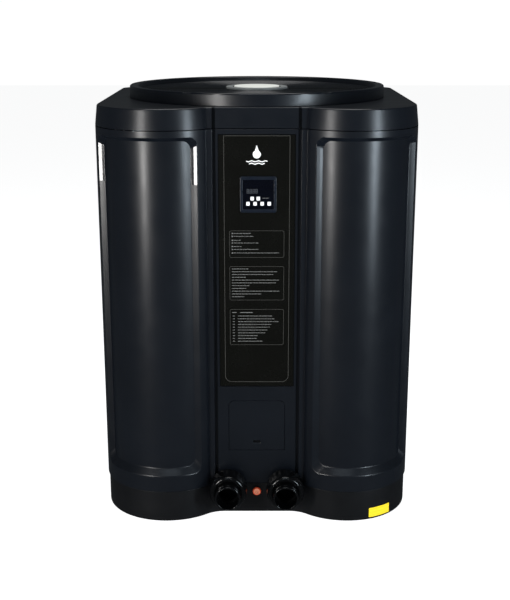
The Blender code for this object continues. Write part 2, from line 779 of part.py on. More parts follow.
def make_hatch():
    """The flap over the terminals, with stub pins at its top corners and a finger notch low down."""
    door = hatch_plate("hatch_door", 0.0, CENTRE_FACE_Y, CENTRE_FACE_Y + HATCH_THICK, "casing")
    pin_y, pin_z = hinge_line()
    pins = rod("hatch_pins", (-0.0672, pin_y, pin_z), (0.0672, pin_y, pin_z), HINGE_PIN_RADIUS, segments=16)
    low, high = NOTCH_Z
    notch = box("cut_notch", (-0.009, CENTRE_FACE_Y - 0.01, low), (0.009, CENTRE_FACE_Y + 0.0017, high))
    join(door, pins)
    return cut(door, notch)


def make_label():
    front = CENTRE_FACE_Y + LABEL_RECESS - LABEL_THICK - FIT
    back = front + LABEL_THICK
    label = box("label_panel", (-LABEL_HALF, front, LABEL_Z[0]), (LABEL_HALF, back, LABEL_Z[1]), "label")
    return cut(label, square("cut_label_display", DISPLAY_OPENING, front - 0.01, back + 0.01))


def square(name, reach, front, back, look=None):
    """A square block about the middle of the display, between two values of Y."""
    low = (DISPLAY_X - reach, front, DISPLAY_Z - reach)
    return box(name, low, (DISPLAY_X + reach, back, DISPLAY_Z + reach), look)


def make_display():
    """The controller: a bezel that clips over the label, a dark screen, its board and six keys."""
    label_front = CENTRE_FACE_Y + LABEL_RECESS - LABEL_THICK - FIT
    front = label_front - FIT - BEZEL_PROUD
    body = DISPLAY_SIZE / 2 - 0.0040
    bezel = square("display_bezel", DISPLAY_SIZE / 2, front, label_front - FIT, "bezel")
    tub = square("bezel_tub", body, front + 0.001, front + BEZEL_DEPTH)
    inside = body - 0.0015
    hollow = square("cut_bezel_hollow", inside, front + 0.0012, 0.0)
    half_w, half_h = SCREEN_WIDTH / 2, SCREEN_HEIGHT / 2
    window = box(
        "cut_bezel_window",
        (DISPLAY_X - half_w, front - 0.01, DISPLAY_Z - half_h),
        (DISPLAY_X + half_w, 0.0, DISPLAY_Z + half_h),
    )
    join(bezel, tub)
    cut(bezel, hollow, window)
    screen_front = front + 0.0012 + FIT
    edge = inside - FIT
    screen = square("display_screen", edge, screen_front, screen_front + 0.002, "screen")
    slot_x, slot_z = BUTTON_WIDTH / 2 + BUTTON_GAP, BUTTON_HEIGHT / 2 + BUTTON_GAP
    for name, (across, up) in BUTTON_PLACES.items():
        x, z = DISPLAY_X + across, DISPLAY_Z + up
        cut(screen, box(f"cut_{name}", (x - slot_x, front - 0.01, z - slot_z), (x + slot_x, 0.0, z + slot_z)))
        make_button(name, x, z, screen_front)
    board_y = screen_front + 0.0090
    square("display_board", edge, board_y, board_y + BOARD_THICK, "board")


def make_button(name, x, z, screen_front):
    """A square key cap. Its origin is on the line that it is pressed along."""
    size = (BUTTON_WIDTH, BUTTON_DEPTH, BUTTON_HEIGHT)
    shape = bmesh.new()
    bmesh.ops.create_cube(shape, size=1.0, matrix=Matrix.Diagonal((*size, 1.0)))
    button = from_bmesh(name, shape, "button")
    button.location = (x, screen_front - BUTTON_PROUD + BUTTON_DEPTH / 2, z)
    bevel = button.modifiers.new("soft edges", "BEVEL")
    bevel.width = 0.0012
    bevel.segments = 1


# ---------------------------------------------------------------- unions, drain and labels

def make_union(side, name):
    """Spigot, seal, tail and nut. The nut turns round the spigot and draws the tail's collar to the seal."""
    place = (side * UNION_X, 0.0, UNION_Z)

    def ring(part, profile, look, steps=20):
        # A turned piece laid along Y: a profile height of h is at Y = -h.
        return smooth(turned(f"{part}_{name}", profile, place, look, steps, along_y=True))

    nut_back = -CENTRE_FACE_Y + 0.0095
    spigot_end = 0.3160
    ring("union_spigot", [
        (SPIGOT_RADIUS, spigot_end), (SPIGOT_RADIUS, 0.240), (BORE_RADIUS, 0.240), (BORE_RADIUS, spigot_end),
    ], "union")
    seal = (spigot_end + FIT, spigot_end + FIT + 0.0022)
    inner, outer = SEAL_RADII
    ring("union_seal", [(outer, seal[1]), (outer, seal[0]), (inner, seal[0]), (inner, seal[1])], "rubber")
    collar = (seal[1] + FIT, seal[1] + FIT + 0.0042)
    ring("union_tail", [
        (TAIL_RADIUS - 0.0010, -UNION_FRONT), (TAIL_RADIUS, -UNION_FRONT - 0.0010), (TAIL_RADIUS, collar[1]),
        (SPIGOT_RADIUS, collar[1]), (SPIGOT_RADIUS, collar[0]), (THROAT_RADIUS, collar[0]),
        (THROAT_RADIUS, collar[0] + 0.0030), (BORE_RADIUS, collar[0] + 0.0030), (BORE_RADIUS, -UNION_FRONT),
    ], "union")
    nut_front, shoulder = collar[1] + 0.0105, collar[1] + 0.0005
    thread, neck = SPIGOT_RADIUS + 0.0006, TAIL_RADIUS + 0.0006
    nut = ring("union_nut", [
        (NUT_RADIUS - 0.006, nut_front), (NUT_RADIUS - 0.001, nut_front - 0.0045),
        (NUT_RADIUS, nut_back + 0.0070), (NUT_RADIUS, nut_back), (thread, nut_back),
        (thread, shoulder), (neck, shoulder), (neck, nut_front),
    ], "union", 24)
    return nut


def make_drain():
    head = -(CENTRE_FACE_Y + BASE_INSET) + FIT
    profile = [
        (0.0085, head + 0.0060), (0.0110, head + 0.0035), (0.0110, head), (0.0087, head),
        (0.0083, head - 0.0120), (0.0, head - 0.0120), (0.0, head + 0.0060),
    ]
    smooth(turned("drain_plug", profile, (0, 0, DRAIN_Z), "drain", 24, along_y=True))


def make_sticker():
    """A blank yellow label stuck on the base under the right column."""
    low, high = (COLUMN_RADIUS * math.radians(a) for a in (20.0, 43.0))
    face = (low, high, 0.0070, 0.0300)
    depths = (BASE_INSET - FIT - 0.0006, BASE_INSET - FIT)
    wrapped("base_sticker", (*face, depths[0]), (*face, depths[1]), 0.0015, "sticker")


def make_gland():
    """The mains cable's gland in the rear of the base, with its cap."""
    x, z = GLAND_AT
    wall = CASING_REAR - BASE_INSET
    cable, stem, nut, cap_radius = GLAND_RADII
    inside, nut_end, stem_end = wall - 0.0120, wall + 0.0050, wall + 0.0075
    body = turned("cable_gland", [
        (stem, -nut_end), (stem, -stem_end), (cable, -stem_end), (cable, -inside),
        (stem, -inside), (stem, -(wall + FIT)), (nut, -(wall + FIT)), (nut, -nut_end),
    ], (x, 0, z), "motor", 20, along_y=True)
    cap = turned("gland_cap", [
        (cap_radius, -(nut_end + FIT)), (cap_radius, -(GLAND_END_Y - 0.0030)), (0.0095, -GLAND_END_Y),
        (cable, -GLAND_END_Y), (cable, -(stem_end + FIT)), (stem + 0.0004, -(stem_end + FIT)),
        (stem + 0.0004, -(nut_end + FIT)),
    ], (x, 0, z), "motor", 20, along_y=True)
    return body, cap


# ---------------------------------------------------------------- machinery

def make_coil():
    """The finned coil, bent round three sides of the machine."""
    near, far = COIL_DEPTH
    x, rear, bend = HALF_WIDTH - near, CASING_REAR - near, 0.060
    corner = arc((x - bend, rear - bend), bend, math.pi / 2, math.pi, math.radians(15))
    path = [(x, -0.095), *corner, *[(-px, py) for px, py in reversed(corner)], (-x, -0.095)]
    return ribbon("evaporator_coil", path, *COIL_Z, far - near, "fins")


def make_compressor():
    x, y = COMPRESSOR_AT
    floor = FOOT_HEIGHT + 2 * FIT + WALL
    radius = COMPRESSOR_RADIUS
    profile = [
        (0.030, 0.400), (0.060, 0.385), (radius, 0.350), (radius, 0.075),
        (0.060, 0.045), (0.095, 0.045), (0.095, floor + 0.010), (0.080, floor), (0.0, floor), (0.0, 0.400),
    ]
    smooth(turned("compressor", profile, (x, y, 0), "motor", 28))
    ax, ay = x + 0.095, y - 0.075
    tank = [(0.012, 0.345), (0.034, 0.325), (0.034, 0.145), (0.012, 0.125), (0.0, 0.125), (0.0, 0.345)]
    smooth(turned("accumulator", tank, (ax, ay, 0), "motor", 20))
    suction = rounded_route([(ax, ay, 0.3455), (ax, ay, 0.582), (0.200, ay, 0.582)], 0.030)
    smooth_tube("suction_pipe", suction, 0.0095)
    hot = rounded_route([(x, y, 0.4005), (x, y, 0.600), (x, 0.045, 0.600)], 0.030)
    smooth_tube("discharge_pipe", hot, 0.0075)
    valve_y = 0.025
    valve = rod("reversing_valve", (0.110, valve_y, 0.582), (0.1985, valve_y, 0.582), 0.0160, "copper")
    stubs = {
        "valve_stub_a": ((x, valve_y, 0.600), (x, valve_y + 0.0195, 0.600)),
        "valve_stub_b": ((x, valve_y, 0.575), (x, valve_y, 0.550)),
    }
    for name, ends in stubs.items():
        join(valve, rod(name, *ends, 0.0090, segments=16))
    vessel_side = EXCHANGER_AT[0] + EXCHANGER_RADIUS + FIT
    to_vessel = [(x, valve_y, 0.5497), (x, valve_y, 0.480), (vessel_side, valve_y, 0.480)]
    smooth_tube("condenser_pipe", rounded_route(to_vessel, 0.030), 0.0085)
    coil_side = HALF_WIDTH - COIL_DEPTH[1] - FIT
    to_coil = [
        (0.1097, valve_y, 0.582), (0.060, valve_y, 0.582), (0.060, valve_y, 0.700),
        (coil_side, valve_y, 0.700),
    ]
    smooth_tube("evaporator_pipe", rounded_route(to_coil, 0.030), 0.0085)


def smooth_tube(name, route, radius):
    return tube(name, route, radius, "copper", 1)


def make_exchanger():
    """The upright water vessel and the two pipes that join it to the unions."""
    x, y = EXCHANGER_AT
    floor = FOOT_HEIGHT + 2 * FIT + WALL
    radius = EXCHANGER_RADIUS
    profile = [
        (0.070, 0.610), (radius, 0.590), (radius, 0.040), (0.085, floor), (0.0, floor), (0.0, 0.610),
    ]
    vessel = turned("heat_exchanger", profile, (x, y, 0), "pvc", 32)
    port_x = x + 0.040
    for z in (0.130, 0.540):
        join(vessel, rod(f"port_{int(z * 1000)}", (port_x, y, z), (port_x, y - 0.120, z), 0.0300))
    port_y = y - 0.1203
    start, run_y = -0.2397, -0.165
    lower = [
        (-UNION_X, start, UNION_Z), (-UNION_X, -0.180, UNION_Z), (port_x, -0.150, 0.130),
        (port_x, port_y, 0.130),
    ]
    tube("water_pipe_out", rounded_route(lower, 0.030, 3), 0.0250, "pvc", 3)
    upper = [
        (UNION_X, start, UNION_Z), (UNION_X, run_y, UNION_Z), (UNION_X, run_y, 0.540),
        (port_x, run_y, 0.540), (port_x, port_y, 0.540),
    ]
    tube("water_pipe_in", rounded_route(upper, 0.045, 4), 0.0250, "pvc", 3)
    wall_x = COIL_DEPTH[1] - HALF_WIDTH + FIT
    route = rounded_route([(x, y, 0.6103), (x, y, 0.700), (wall_x, y, 0.700)], 0.030)
    liquid = as_mesh(smooth_tube("liquid_line", route, 0.0065), "copper")
    join(liquid, rod("expansion_valve", (x, y, 0.628), (x, y, 0.656), 0.0140, segments=16))
    join(liquid, rod("filter_drier", (x - 0.060, y, 0.700), (x - 0.130, y, 0.700), 0.0170, segments=16))


def make_electrics():
    """The control box and its cover, with a tongue below it that carries the terminals behind the hatch."""
    back = CENTRE_FACE_Y + PANEL_DEPTH
    case = box("control_box", (-0.080, back + 0.0120, 0.330), (0.080, back + 0.0620, 0.680), "steel")
    join(case, box("terminal_tongue", (-0.055, back + 0.0563, 0.190), (0.055, back + 0.0583, 0.340)))
    box("control_box_cover", (-0.082, back + 0.0090, 0.328), (0.082, back + 0.0117, 0.682), "steel")
    box("terminal_block", (-0.045, back + 0.0360, 0.205), (0.045, back + 0.0560, 0.235), "pvc")


def make_everything():
    make_base()
    make_feet()
    mirrored(make_column(), "front_left_column")
    mirrored(make_rear_post(), "rear_left_post")
    make_guards()
    make_lid()
    make_ring()
    make_grille()
    make_cap()
    make_fan()
    make_motor_bracket()
    make_front_panel()
    make_hatch()
    make_label()
    make_display()
    for side, name in ((-1, "left"), (1, "right")):
        make_union(side, name)
    make_drain()
    make_sticker()
    make_gland()
    make_coil()
    make_compressor()
    make_exchanger()
    make_electrics()


PARTS, CUTTERS = start_scene()
LOOKS = make_materials()
make_everything()
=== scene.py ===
"""The looks of a pool heat pump, built round its packed frame.

Each operator makes one piece or one group of like pieces in the frame's own metres, with +Z up and
the front towards -Y. Sizes come from the frame's boxes and from the settings in PumpSizes.
"""

import json
import math
import random

import bmesh
import bpy
from bpy.props import FloatProperty, FloatVectorProperty, IntProperty, PointerProperty
from mathutils import Matrix, Vector


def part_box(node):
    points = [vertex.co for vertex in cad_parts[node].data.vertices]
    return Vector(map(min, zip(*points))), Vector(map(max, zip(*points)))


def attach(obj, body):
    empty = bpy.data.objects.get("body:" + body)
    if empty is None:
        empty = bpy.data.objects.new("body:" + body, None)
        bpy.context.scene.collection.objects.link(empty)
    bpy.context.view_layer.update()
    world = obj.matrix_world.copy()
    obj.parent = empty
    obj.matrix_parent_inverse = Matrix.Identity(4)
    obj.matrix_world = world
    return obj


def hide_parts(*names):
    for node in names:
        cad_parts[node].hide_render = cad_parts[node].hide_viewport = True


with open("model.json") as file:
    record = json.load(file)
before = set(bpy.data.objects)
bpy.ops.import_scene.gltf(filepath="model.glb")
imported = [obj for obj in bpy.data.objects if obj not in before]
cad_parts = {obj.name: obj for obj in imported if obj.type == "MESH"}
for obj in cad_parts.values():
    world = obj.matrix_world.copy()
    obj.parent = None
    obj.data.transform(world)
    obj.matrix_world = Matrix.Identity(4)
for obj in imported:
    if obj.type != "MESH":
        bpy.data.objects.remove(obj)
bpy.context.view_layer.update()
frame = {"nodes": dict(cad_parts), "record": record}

bl_info = {
    "name": "Pool heat pump",
    "version": (1, 0, 0),
    "blender": (4, 5, 0),
    "location": "View3D > Sidebar > Pool heat pump",
    "description": "Builds the casing, controller, unions, fan and coil of a pool heat pump",
    "category": "Object",
}

# Places read from the frame
COLUMN_LOW, COLUMN_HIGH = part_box("front_right_column")
LID_LOW, LID_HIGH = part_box("top_cover")
BASE_LOW, BASE_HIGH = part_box("base_pan")
PANEL_LOW, PANEL_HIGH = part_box("front_panel")
LABEL_LOW, LABEL_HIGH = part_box("label_panel")
HATCH_LOW, HATCH_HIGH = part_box("hatch_door")
BEZEL_LOW, BEZEL_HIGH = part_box("display_bezel")
SCREEN_LOW, SCREEN_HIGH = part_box("display_screen")
RING_LOW, RING_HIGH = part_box("fan_ring")
GRILLE_LOW, GRILLE_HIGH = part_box("fan_grille")
CAP_LOW, CAP_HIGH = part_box("grille_cap")
BADGE_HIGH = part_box("grille_badge")[1]
GUARD_LOW, GUARD_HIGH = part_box("right_coil_guard")
REAR_GUARD_LOW, REAR_GUARD_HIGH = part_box("rear_coil_guard")
COIL_LOW, COIL_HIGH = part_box("evaporator_coil")
POST_LOW, POST_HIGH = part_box("rear_right_post")
NUT_LOW, NUT_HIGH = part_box("union_nut_right")
TAIL_LOW, TAIL_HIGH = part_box("union_tail_right")

# The casing's outline in plan
HALF_WIDTH = COLUMN_HIGH.x
CASING_REAR = POST_HIGH.y
COLUMN_RADIUS = 0.149
COLUMN_X = HALF_WIDTH - COLUMN_RADIUS
COLUMN_Y = COLUMN_LOW.y + COLUMN_RADIUS
REAR_CORNER = 0.050
CENTRE_FACE_Y = PANEL_LOW.y
CENTRE_HALF = 0.090
GROOVE = COLUMN_LOW.x - CENTRE_HALF
LAND_Y = -0.285
LAND_WIDTH = 0.0125
FRONT_ZONE_Y = -0.2
COLUMN_INNER_X = 0.1115
GROOVE_DEPTH = 0.022
LID_GROOVE_FLOOR = 0.010
WALL = 0.004
BASE_INSET = 0.003
LIP_STEP = 0.002
BASE_FILLET = 0.060
BASE_TOP = 0.0745
ARC_STEP = math.radians(2.5)

# The recess in each column
WINDOW_ANGLES = (-34.5, 68.0)
WINDOW_TOP = 0.889
WINDOW_BOTTOM = 0.113
WINDOW_DEPTH = 0.012
WINDOW_INNER_RUN = 0.0126
WINDOW_OUTER_RUN = 0.0095
WINDOW_SILL_RUN = 0.019
WINDOW_TOP_RUN = 0.0090
WINDOW_CORNER = 0.020
WINDOW_POLISH = 0.785

# The fan and its collar
FAN_Y = (RING_LOW.y + RING_HIGH.y) / 2
RING_RADIUS = RING_HIGH.x
RIM_INNER = 0.283
DUCT_RADIUS = 0.276
LID_HOLE = 0.285
NOTCH_AZIMUTH = math.radians(29.4)

# The unions
UNION_X = (NUT_LOW.x + NUT_HIGH.x) / 2
UNION_Z = (NUT_LOW.z + NUT_HIGH.z) / 2
NUT_RADIUS = (NUT_HIGH.x - NUT_LOW.x) / 2
TAIL_RADIUS = 0.0295
BORE_RADIUS = 0.0250
SPIGOT_RADIUS = 0.0330

# The controller: a digit's seven bars are (across, up, standing) in half widths and half heights
DISPLAY_X = (BEZEL_LOW.x + BEZEL_HIGH.x) / 2
DISPLAY_Z = (BEZEL_LOW.z + BEZEL_HIGH.z) / 2
KEYS = ("button_up", "button_down", "button_power", "button_mode", "button_timer", "button_menu")
SEGMENTS = ((0, 1, 0), (0, 0, 0), (0, -1, 0), (-1, 0.5, 1), (1, 0.5, 1), (-1, -0.5, 1), (1, -0.5, 1))

# The label's print: the ink's thickness, and the foot and top of each printed box
INK = 0.00012
BLOCKS = ((0.619, 0.680), (0.521, 0.599), (0.416, 0.500))

# The hatch
HINGE_Z = 0.269
HATCH_HALF = 0.064
HATCH_LEDGE = 0.008


# ---------------------------------------------------------------- settings

class PumpSizes(bpy.types.PropertyGroup):
    """Sizes of the fine features."""

    lid_fillet: FloatProperty(
        name="Lid fillet", description="Radius round the lid's top edge",
        default=0.0035, min=0.0005, max=0.006, unit="LENGTH",
    )
    edge: FloatProperty(
        name="Moulded edge", description="Radius of the moulded parts' outer edges",
        default=0.0007, min=0.0002, max=0.002, unit="LENGTH",
    )
    grille_pitch: FloatProperty(
        name="Grille pitch", description="Distance between one ring of the fan grille and the next",
        default=0.0066, min=0.004, max=0.02, unit="LENGTH",
    )
    grille_rib: FloatProperty(
        name="Grille rib", description="Width of one ring of the fan grille",
        default=0.0029, min=0.001, max=0.004, unit="LENGTH",
    )
    grille_bars: IntProperty(
        name="Grille bars", description="Straight bars that carry the rings", default=12, min=3, max=36,
    )
    nut_ribs: IntProperty(
        name="Nut ribs", description="Grip ribs round each union nut", default=24, min=8, max=48,
    )
    fin_pitch: FloatProperty(
        name="Fin pitch", description="Distance between one fin of the coil and the next",
        default=0.0040, min=0.002, max=0.01, unit="LENGTH",
    )
    louvre_pitch: FloatProperty(
        name="Louvre pitch", description="Height from one louvre of a guard to the next",
        default=0.0200, min=0.01, max=0.06, unit="LENGTH",
    )


class PumpColours(bpy.types.PropertyGroup):
    """Colours of the finishes."""

    casing: FloatVectorProperty(
        name="Casing", description="Blue-black moulded plastic",
        default=(0.0048, 0.0064, 0.0096), subtype="COLOR", min=0, max=1,
    )
    base: FloatVectorProperty(
        name="Base", description="Black plastic of the base",
        default=(0.0040, 0.0043, 0.0052), subtype="COLOR", min=0, max=1,
    )
    label: FloatVectorProperty(
        name="Label", description="Ground of the centre label",
        default=(0.0030, 0.0030, 0.0022), subtype="COLOR", min=0, max=1,
    )
    screen: FloatVectorProperty(
        name="Screen", description="Window of the controller",
        default=(0.0007, 0.0011, 0.0036), subtype="COLOR", min=0, max=1,
    )
    drain: FloatVectorProperty(
        name="Drain plug", description="Orange plastic of the drain plug",
        default=(0.86, 0.085, 0.022), subtype="COLOR", min=0, max=1,
    )
    sticker: FloatVectorProperty(
        name="Sticker", description="Yellow film on the base",
        default=(0.95, 0.70, 0.004), subtype="COLOR", min=0, max=1,
    )


class StageSettings(bpy.types.PropertyGroup):
    """The lights and the floor."""

    left_power: FloatProperty(
        name="Left light", description="Power of the tall light at the front left",
        default=23.0, min=0, subtype="POWER",
    )
    right_power: FloatProperty(
        name="Right light", description="Power of the tall light at the front right",
        default=30.0, min=0, subtype="POWER",
    )
    top_power: FloatProperty(
        name="Top light", description="Power of the broad light overhead",
        default=30.0, min=0, subtype="POWER",
    )
    sill_power: FloatProperty(
        name="High light", description="Power of the light above the camera",
        default=5.0, min=0, subtype="POWER",
    )
    ambient: FloatProperty(
        name="Ambient", description="Brightness of the surroundings as the object reflects them",
        default=0.045, min=0, max=2,
    )
    floor: FloatVectorProperty(
        name="Floor", description="Colour of the floor",
        default=(0.98, 0.98, 0.98), subtype="COLOR", min=0, max=1,
    )


def sizes():
    return bpy.context.scene.pump_sizes


def colours():
    return bpy.context.scene.pump_colours


# ---------------------------------------------------------------- finishes

class Tree:
    """A material's node tree, with short ways to add what the finishes share."""

    def __init__(self, name):
        self.material = bpy.data.materials.new(name)
        self.material.use_nodes = True
        self.nodes = self.material.node_tree.nodes
        self.links = self.material.node_tree.links
        self.shader = self.nodes["Principled BSDF"]
        self.place = self.nodes.new("ShaderNodeTexCoord").outputs["Object"]

    def set(self, **values):
        for socket, value in values.items():
            self.shader.inputs[socket.replace("_", " ")].default_value = value
        return self

    def noise(self, scale, detail=3.0, stretch=(1.0, 1.0, 1.0)):
        mapping = self.nodes.new("ShaderNodeMapping")
        mapping.inputs["Scale"].default_value = stretch
        self.links.new(self.place, mapping.inputs["Vector"])
        texture = self.nodes.new("ShaderNodeTexNoise")
        texture.inputs["Scale"].default_value = scale
        texture.inputs["Detail"].default_value = detail
        self.links.new(mapping.outputs["Vector"], texture.inputs["Vector"])
        return texture.outputs["Fac"]

    def ranged(self, value, low, high, source=(0.3, 0.7)):
        node = self.nodes.new("ShaderNodeMapRange")
        node.inputs["From Min"].default_value, node.inputs["From Max"].default_value = source
        node.inputs["To Min"].default_value, node.inputs["To Max"].default_value = low, high
        self.links.new(value, node.inputs["Value"])
        return node.outputs["Result"]

    def blend(self, factor, first, second):
        node = self.nodes.new("ShaderNodeMix")
        node.data_type = "RGBA"
        node.inputs["A"].default_value = (*first, 1.0)
        node.inputs["B"].default_value = (*second, 1.0)
        self.links.new(factor, node.inputs["Factor"])
        return node.outputs["Result"]

    def roughness(self, low, high, scale, stretch=(1.0, 1.0, 1.0)):
        value = self.ranged(self.noise(scale, 4.0, stretch), low, high)
        self.links.new(value, self.shader.inputs["Roughness"])
        return self

    def mottle(self, first, second, scale, stretch=(1.0, 1.0, 1.0)):
        factor = self.ranged(self.noise(scale, 3.0, stretch), 0.0, 1.0)
        self.links.new(self.blend(factor, first, second), self.shader.inputs["Base Color"])
        return self

    def grain(self, height, strength, scale, detail=2.0, stretch=(1.0, 1.0, 1.0)):
        bump = self.nodes.new("ShaderNodeBump")
        bump.inputs["Strength"].default_value = strength
        bump.inputs["Distance"].default_value = height
        self.links.new(self.noise(scale, detail, stretch), bump.inputs["Height"])
        self.links.new(bump.outputs["Normal"], self.shader.inputs["Normal"])
        return self


def shaded(colour, share):
    """A colour made lighter or darker."""
    return tuple(min(1.0, channel * share) for channel in colour)


def casing_finish():
    """Satin blue-black plastic with a spark-eroded grain a third of a millimetre across."""
    colour = colours().casing
    tree = Tree("casing_plastic").mottle(shaded(colour, 0.90), shaded(colour, 1.12), 7.0)
    return tree.roughness(0.275, 0.325, 26.0).grain(0.00005, 0.22, 2600.0).material


def polished_finish():
    """The same plastic where the mould is polished: high on the recess's walls, and on the collar's rim."""
    colour = colours().casing
    tree = Tree("casing_plastic_polished").mottle(shaded(colour, 0.90), shaded(colour, 1.12), 7.0)
    return tree.roughness(0.10, 0.14, 30.0).grain(0.00008, 0.03, 160.0).material


def base_finish():
    colour = colours().base
    tree = Tree("base_plastic").mottle(shaded(colour, 0.85), shaded(colour, 1.15), 9.0)
    return tree.roughness(0.36, 0.46, 22.0).grain(0.00006, 0.3, 2200.0).material


def label_finish():
    """A gloss printed film, with the slight waviness of a laminated sheet."""
    colour = colours().label
    tree = Tree("label_film").set(Specular_IOR_Level=0.38)
    tree.mottle(shaded(colour, 0.93), shaded(colour, 1.06), 5.0)
    return tree.roughness(0.24, 0.29, 18.0).grain(0.0002, 0.06, 30.0).material


def print_finish():
    """Screen-printed lines in warm grey ink."""
    tree = Tree("label_ink_grey").mottle((0.040, 0.038, 0.033), (0.052, 0.050, 0.043), 900.0)
    return tree.roughness(0.5, 0.62, 700.0).grain(0.00003, 0.2, 3000.0).material


def text_finish():
    tree = Tree("label_ink_pale").mottle((0.13, 0.13, 0.125), (0.20, 0.20, 0.19), 600.0)
    return tree.roughness(0.5, 0.6, 700.0).grain(0.00003, 0.2, 3000.0).material


def emblem_finish():
    tree = Tree("label_ink_white_painted_glow").mottle((0.74, 0.74, 0.73), (0.86, 0.86, 0.85), 500.0)
    # The emission is a painted glow that makes the white ink brighter, though the ink is no lamp.
    tree.shader.inputs["Emission Color"].default_value = (1.0, 1.0, 1.0, 1.0)
    tree.shader.inputs["Emission Strength"].default_value = 0.30
    return tree.roughness(0.45, 0.55, 500.0).grain(0.00003, 0.2, 3000.0).material


def bezel_finish():
    tree = Tree("bezel_plastic").mottle((0.004, 0.007, 0.014), (0.006, 0.010, 0.019), 40.0)
    return tree.roughness(0.26, 0.34, 90.0).grain(0.00004, 0.2, 2600.0).material


def screen_finish():
    """A dark blue acrylic window."""
    colour = colours().screen
    tree = Tree("screen_acrylic").set(Coat_Weight=0.5, Coat_Roughness=0.05)
    tree.mottle(shaded(colour, 0.9), shaded(colour, 1.1), 60.0)
    return tree.roughness(0.08, 0.12, 80.0).grain(0.0001, 0.02, 40.0).material


def digit_finish():
    tree = Tree("display_segments").mottle((0.075, 0.082, 0.095), (0.10, 0.11, 0.125), 400.0)
    return tree.roughness(0.4, 0.5, 300.0).grain(0.00002, 0.1, 2000.0).material


def key_finish():
    """White silicone keys, which the controller lights a little from behind."""
    tree = Tree("key_silicone_painted_glow").mottle((0.80, 0.80, 0.80), (0.88, 0.88, 0.88), 300.0)
    tree.shader.inputs["Emission Color"].default_value = (1.0, 1.0, 1.0, 1.0)
    tree.shader.inputs["Emission Strength"].default_value = 0.40
    return tree.roughness(0.42, 0.5, 200.0).grain(0.00004, 0.2, 1800.0).material


# Glossy black of the unions. It also stands as painted shade in the hatch's finger notch and in the groove
# round the badge.
def union_and_groove_shade_finish():
    tree = Tree("union_plastic_and_painted_groove_shade").mottle((0.0022, 0.0023, 0.0026), (0.0032, 0.0034, 0.0038), 30.0)
    return tree.roughness(0.10, 0.15, 60.0).grain(0.00005, 0.08, 900.0).material


def drain_finish():
    colour = colours().drain
    tree = Tree("drain_plastic").mottle(shaded(colour, 0.88), shaded(colour, 1.08), 120.0)
    return tree.roughness(0.32, 0.42, 160.0).grain(0.00005, 0.15, 1600.0).material


def drain_centre_finish():
    tree = Tree("drain_plastic_pale").mottle((0.92, 0.30, 0.16), (0.98, 0.38, 0.22), 150.0)
    return tree.roughness(0.32, 0.42, 160.0).grain(0.00005, 0.15, 1600.0).material


def sticker_finish():
    """Yellow film that is crossed by a few faint rules."""
    colour = colours().sticker
    tree = Tree("sticker_film_painted_glow")
    wave = tree.nodes.new("ShaderNodeTexWave")
    wave.bands_direction = "Z"
    wave.inputs["Scale"].default_value = 42.0
    wave.inputs["Distortion"].default_value = 0.0
    tree.links.new(tree.place, wave.inputs["Vector"])
    rules = tree.ranged(wave.outputs["Fac"], 0.0, 0.5, (0.86, 1.0))
    tree.links.new(tree.blend(rules, colour, shaded(colour, 0.55)), tree.shader.inputs["Base Color"])
    # The emission is a painted glow that brightens the yellow film, which is no lamp.
    tree.shader.inputs["Emission Color"].default_value = (*colour, 1.0)
    tree.shader.inputs["Emission Strength"].default_value = 0.25
    return tree.roughness(0.38, 0.48, 200.0).grain(0.00004, 0.1, 900.0).material


def badge_finish():
    """An off-white film with a brushed silver sheen."""
    tree = Tree("badge_film_painted_sheen_and_glow").mottle((0.52, 0.54, 0.50), (0.86, 0.87, 0.83), 26.0, (1.0, 3.0, 1.0))
    tree.shader.inputs["Emission Color"].default_value = (0.9, 0.92, 0.86, 1.0)
    tree.shader.inputs["Emission Strength"].default_value = 0.42
    return tree.roughness(0.3, 0.45, 60.0).grain(0.00004, 0.1, 700.0).material


def cap_finish():
    tree = Tree("cap_plastic_silver").mottle((0.30, 0.32, 0.32), (0.42, 0.44, 0.43), 30.0)
    return tree.roughness(0.3, 0.4, 60.0).grain(0.00004, 0.15, 1500.0).material


def rubber_finish():
    tree = Tree("rubber").mottle((0.010, 0.010, 0.010), (0.022, 0.022, 0.021), 60.0)
    return tree.roughness(0.72, 0.88, 90.0).grain(0.0001, 0.4, 1100.0).material


def fin_finish():
    """Aluminium with a pale blue water-shedding coat."""
    tree = Tree("coil_aluminium").set(Metallic=0.85)
    tree.mottle((0.36, 0.45, 0.52), (0.50, 0.58, 0.63), 20.0, (1.0, 1.0, 0.3))
    return tree.roughness(0.32, 0.45, 120.0).grain(0.00004, 0.2, 700.0).material


def steel_finish():
    """Zinc plating: bright, with the spangle of hot-dipped sheet."""
    tree = Tree("zinc_steel").set(Metallic=0.9)
    tree.mottle((0.42, 0.43, 0.44), (0.62, 0.63, 0.64), 60.0)
    return tree.roughness(0.30, 0.46, 70.0).grain(0.00003, 0.1, 300.0).material


def screw_finish():
    tree = Tree("screw_black_zinc").set(Metallic=0.8).mottle((0.05, 0.05, 0.055), (0.09, 0.09, 0.095), 300.0)
    return tree.roughness(0.3, 0.42, 300.0).grain(0.00002, 0.2, 1200.0).material


def motor_finish():
    tree = Tree("painted_black").mottle((0.012, 0.012, 0.013), (0.020, 0.020, 0.021), 25.0)
    return tree.roughness(0.42, 0.58, 40.0).grain(0.0001, 0.3, 500.0).material


def copper_finish():
    """Drawn copper pipe, dulled in patches and darker near its brazed ends."""
    tree = Tree("copper_pipe").set(Metallic=1.0)
    tree.mottle((0.46, 0.17, 0.08), (0.70, 0.32, 0.19), 16.0)
    return tree.roughness(0.25, 0.45, 35.0).grain(0.00004, 0.1, 500.0).material


def pvc_finish():
    tree = Tree("pvc_grey").mottle((0.13, 0.14, 0.15), (0.17, 0.18, 0.19), 12.0)
    return tree.roughness(0.38, 0.5, 30.0).grain(0.00005, 0.15, 600.0).material


def board_finish():
    tree = Tree("circuit_board").mottle((0.004, 0.06, 0.02), (0.008, 0.11, 0.04), 220.0)
    return tree.roughness(0.35, 0.5, 200.0).grain(0.00008, 0.4, 900.0).material


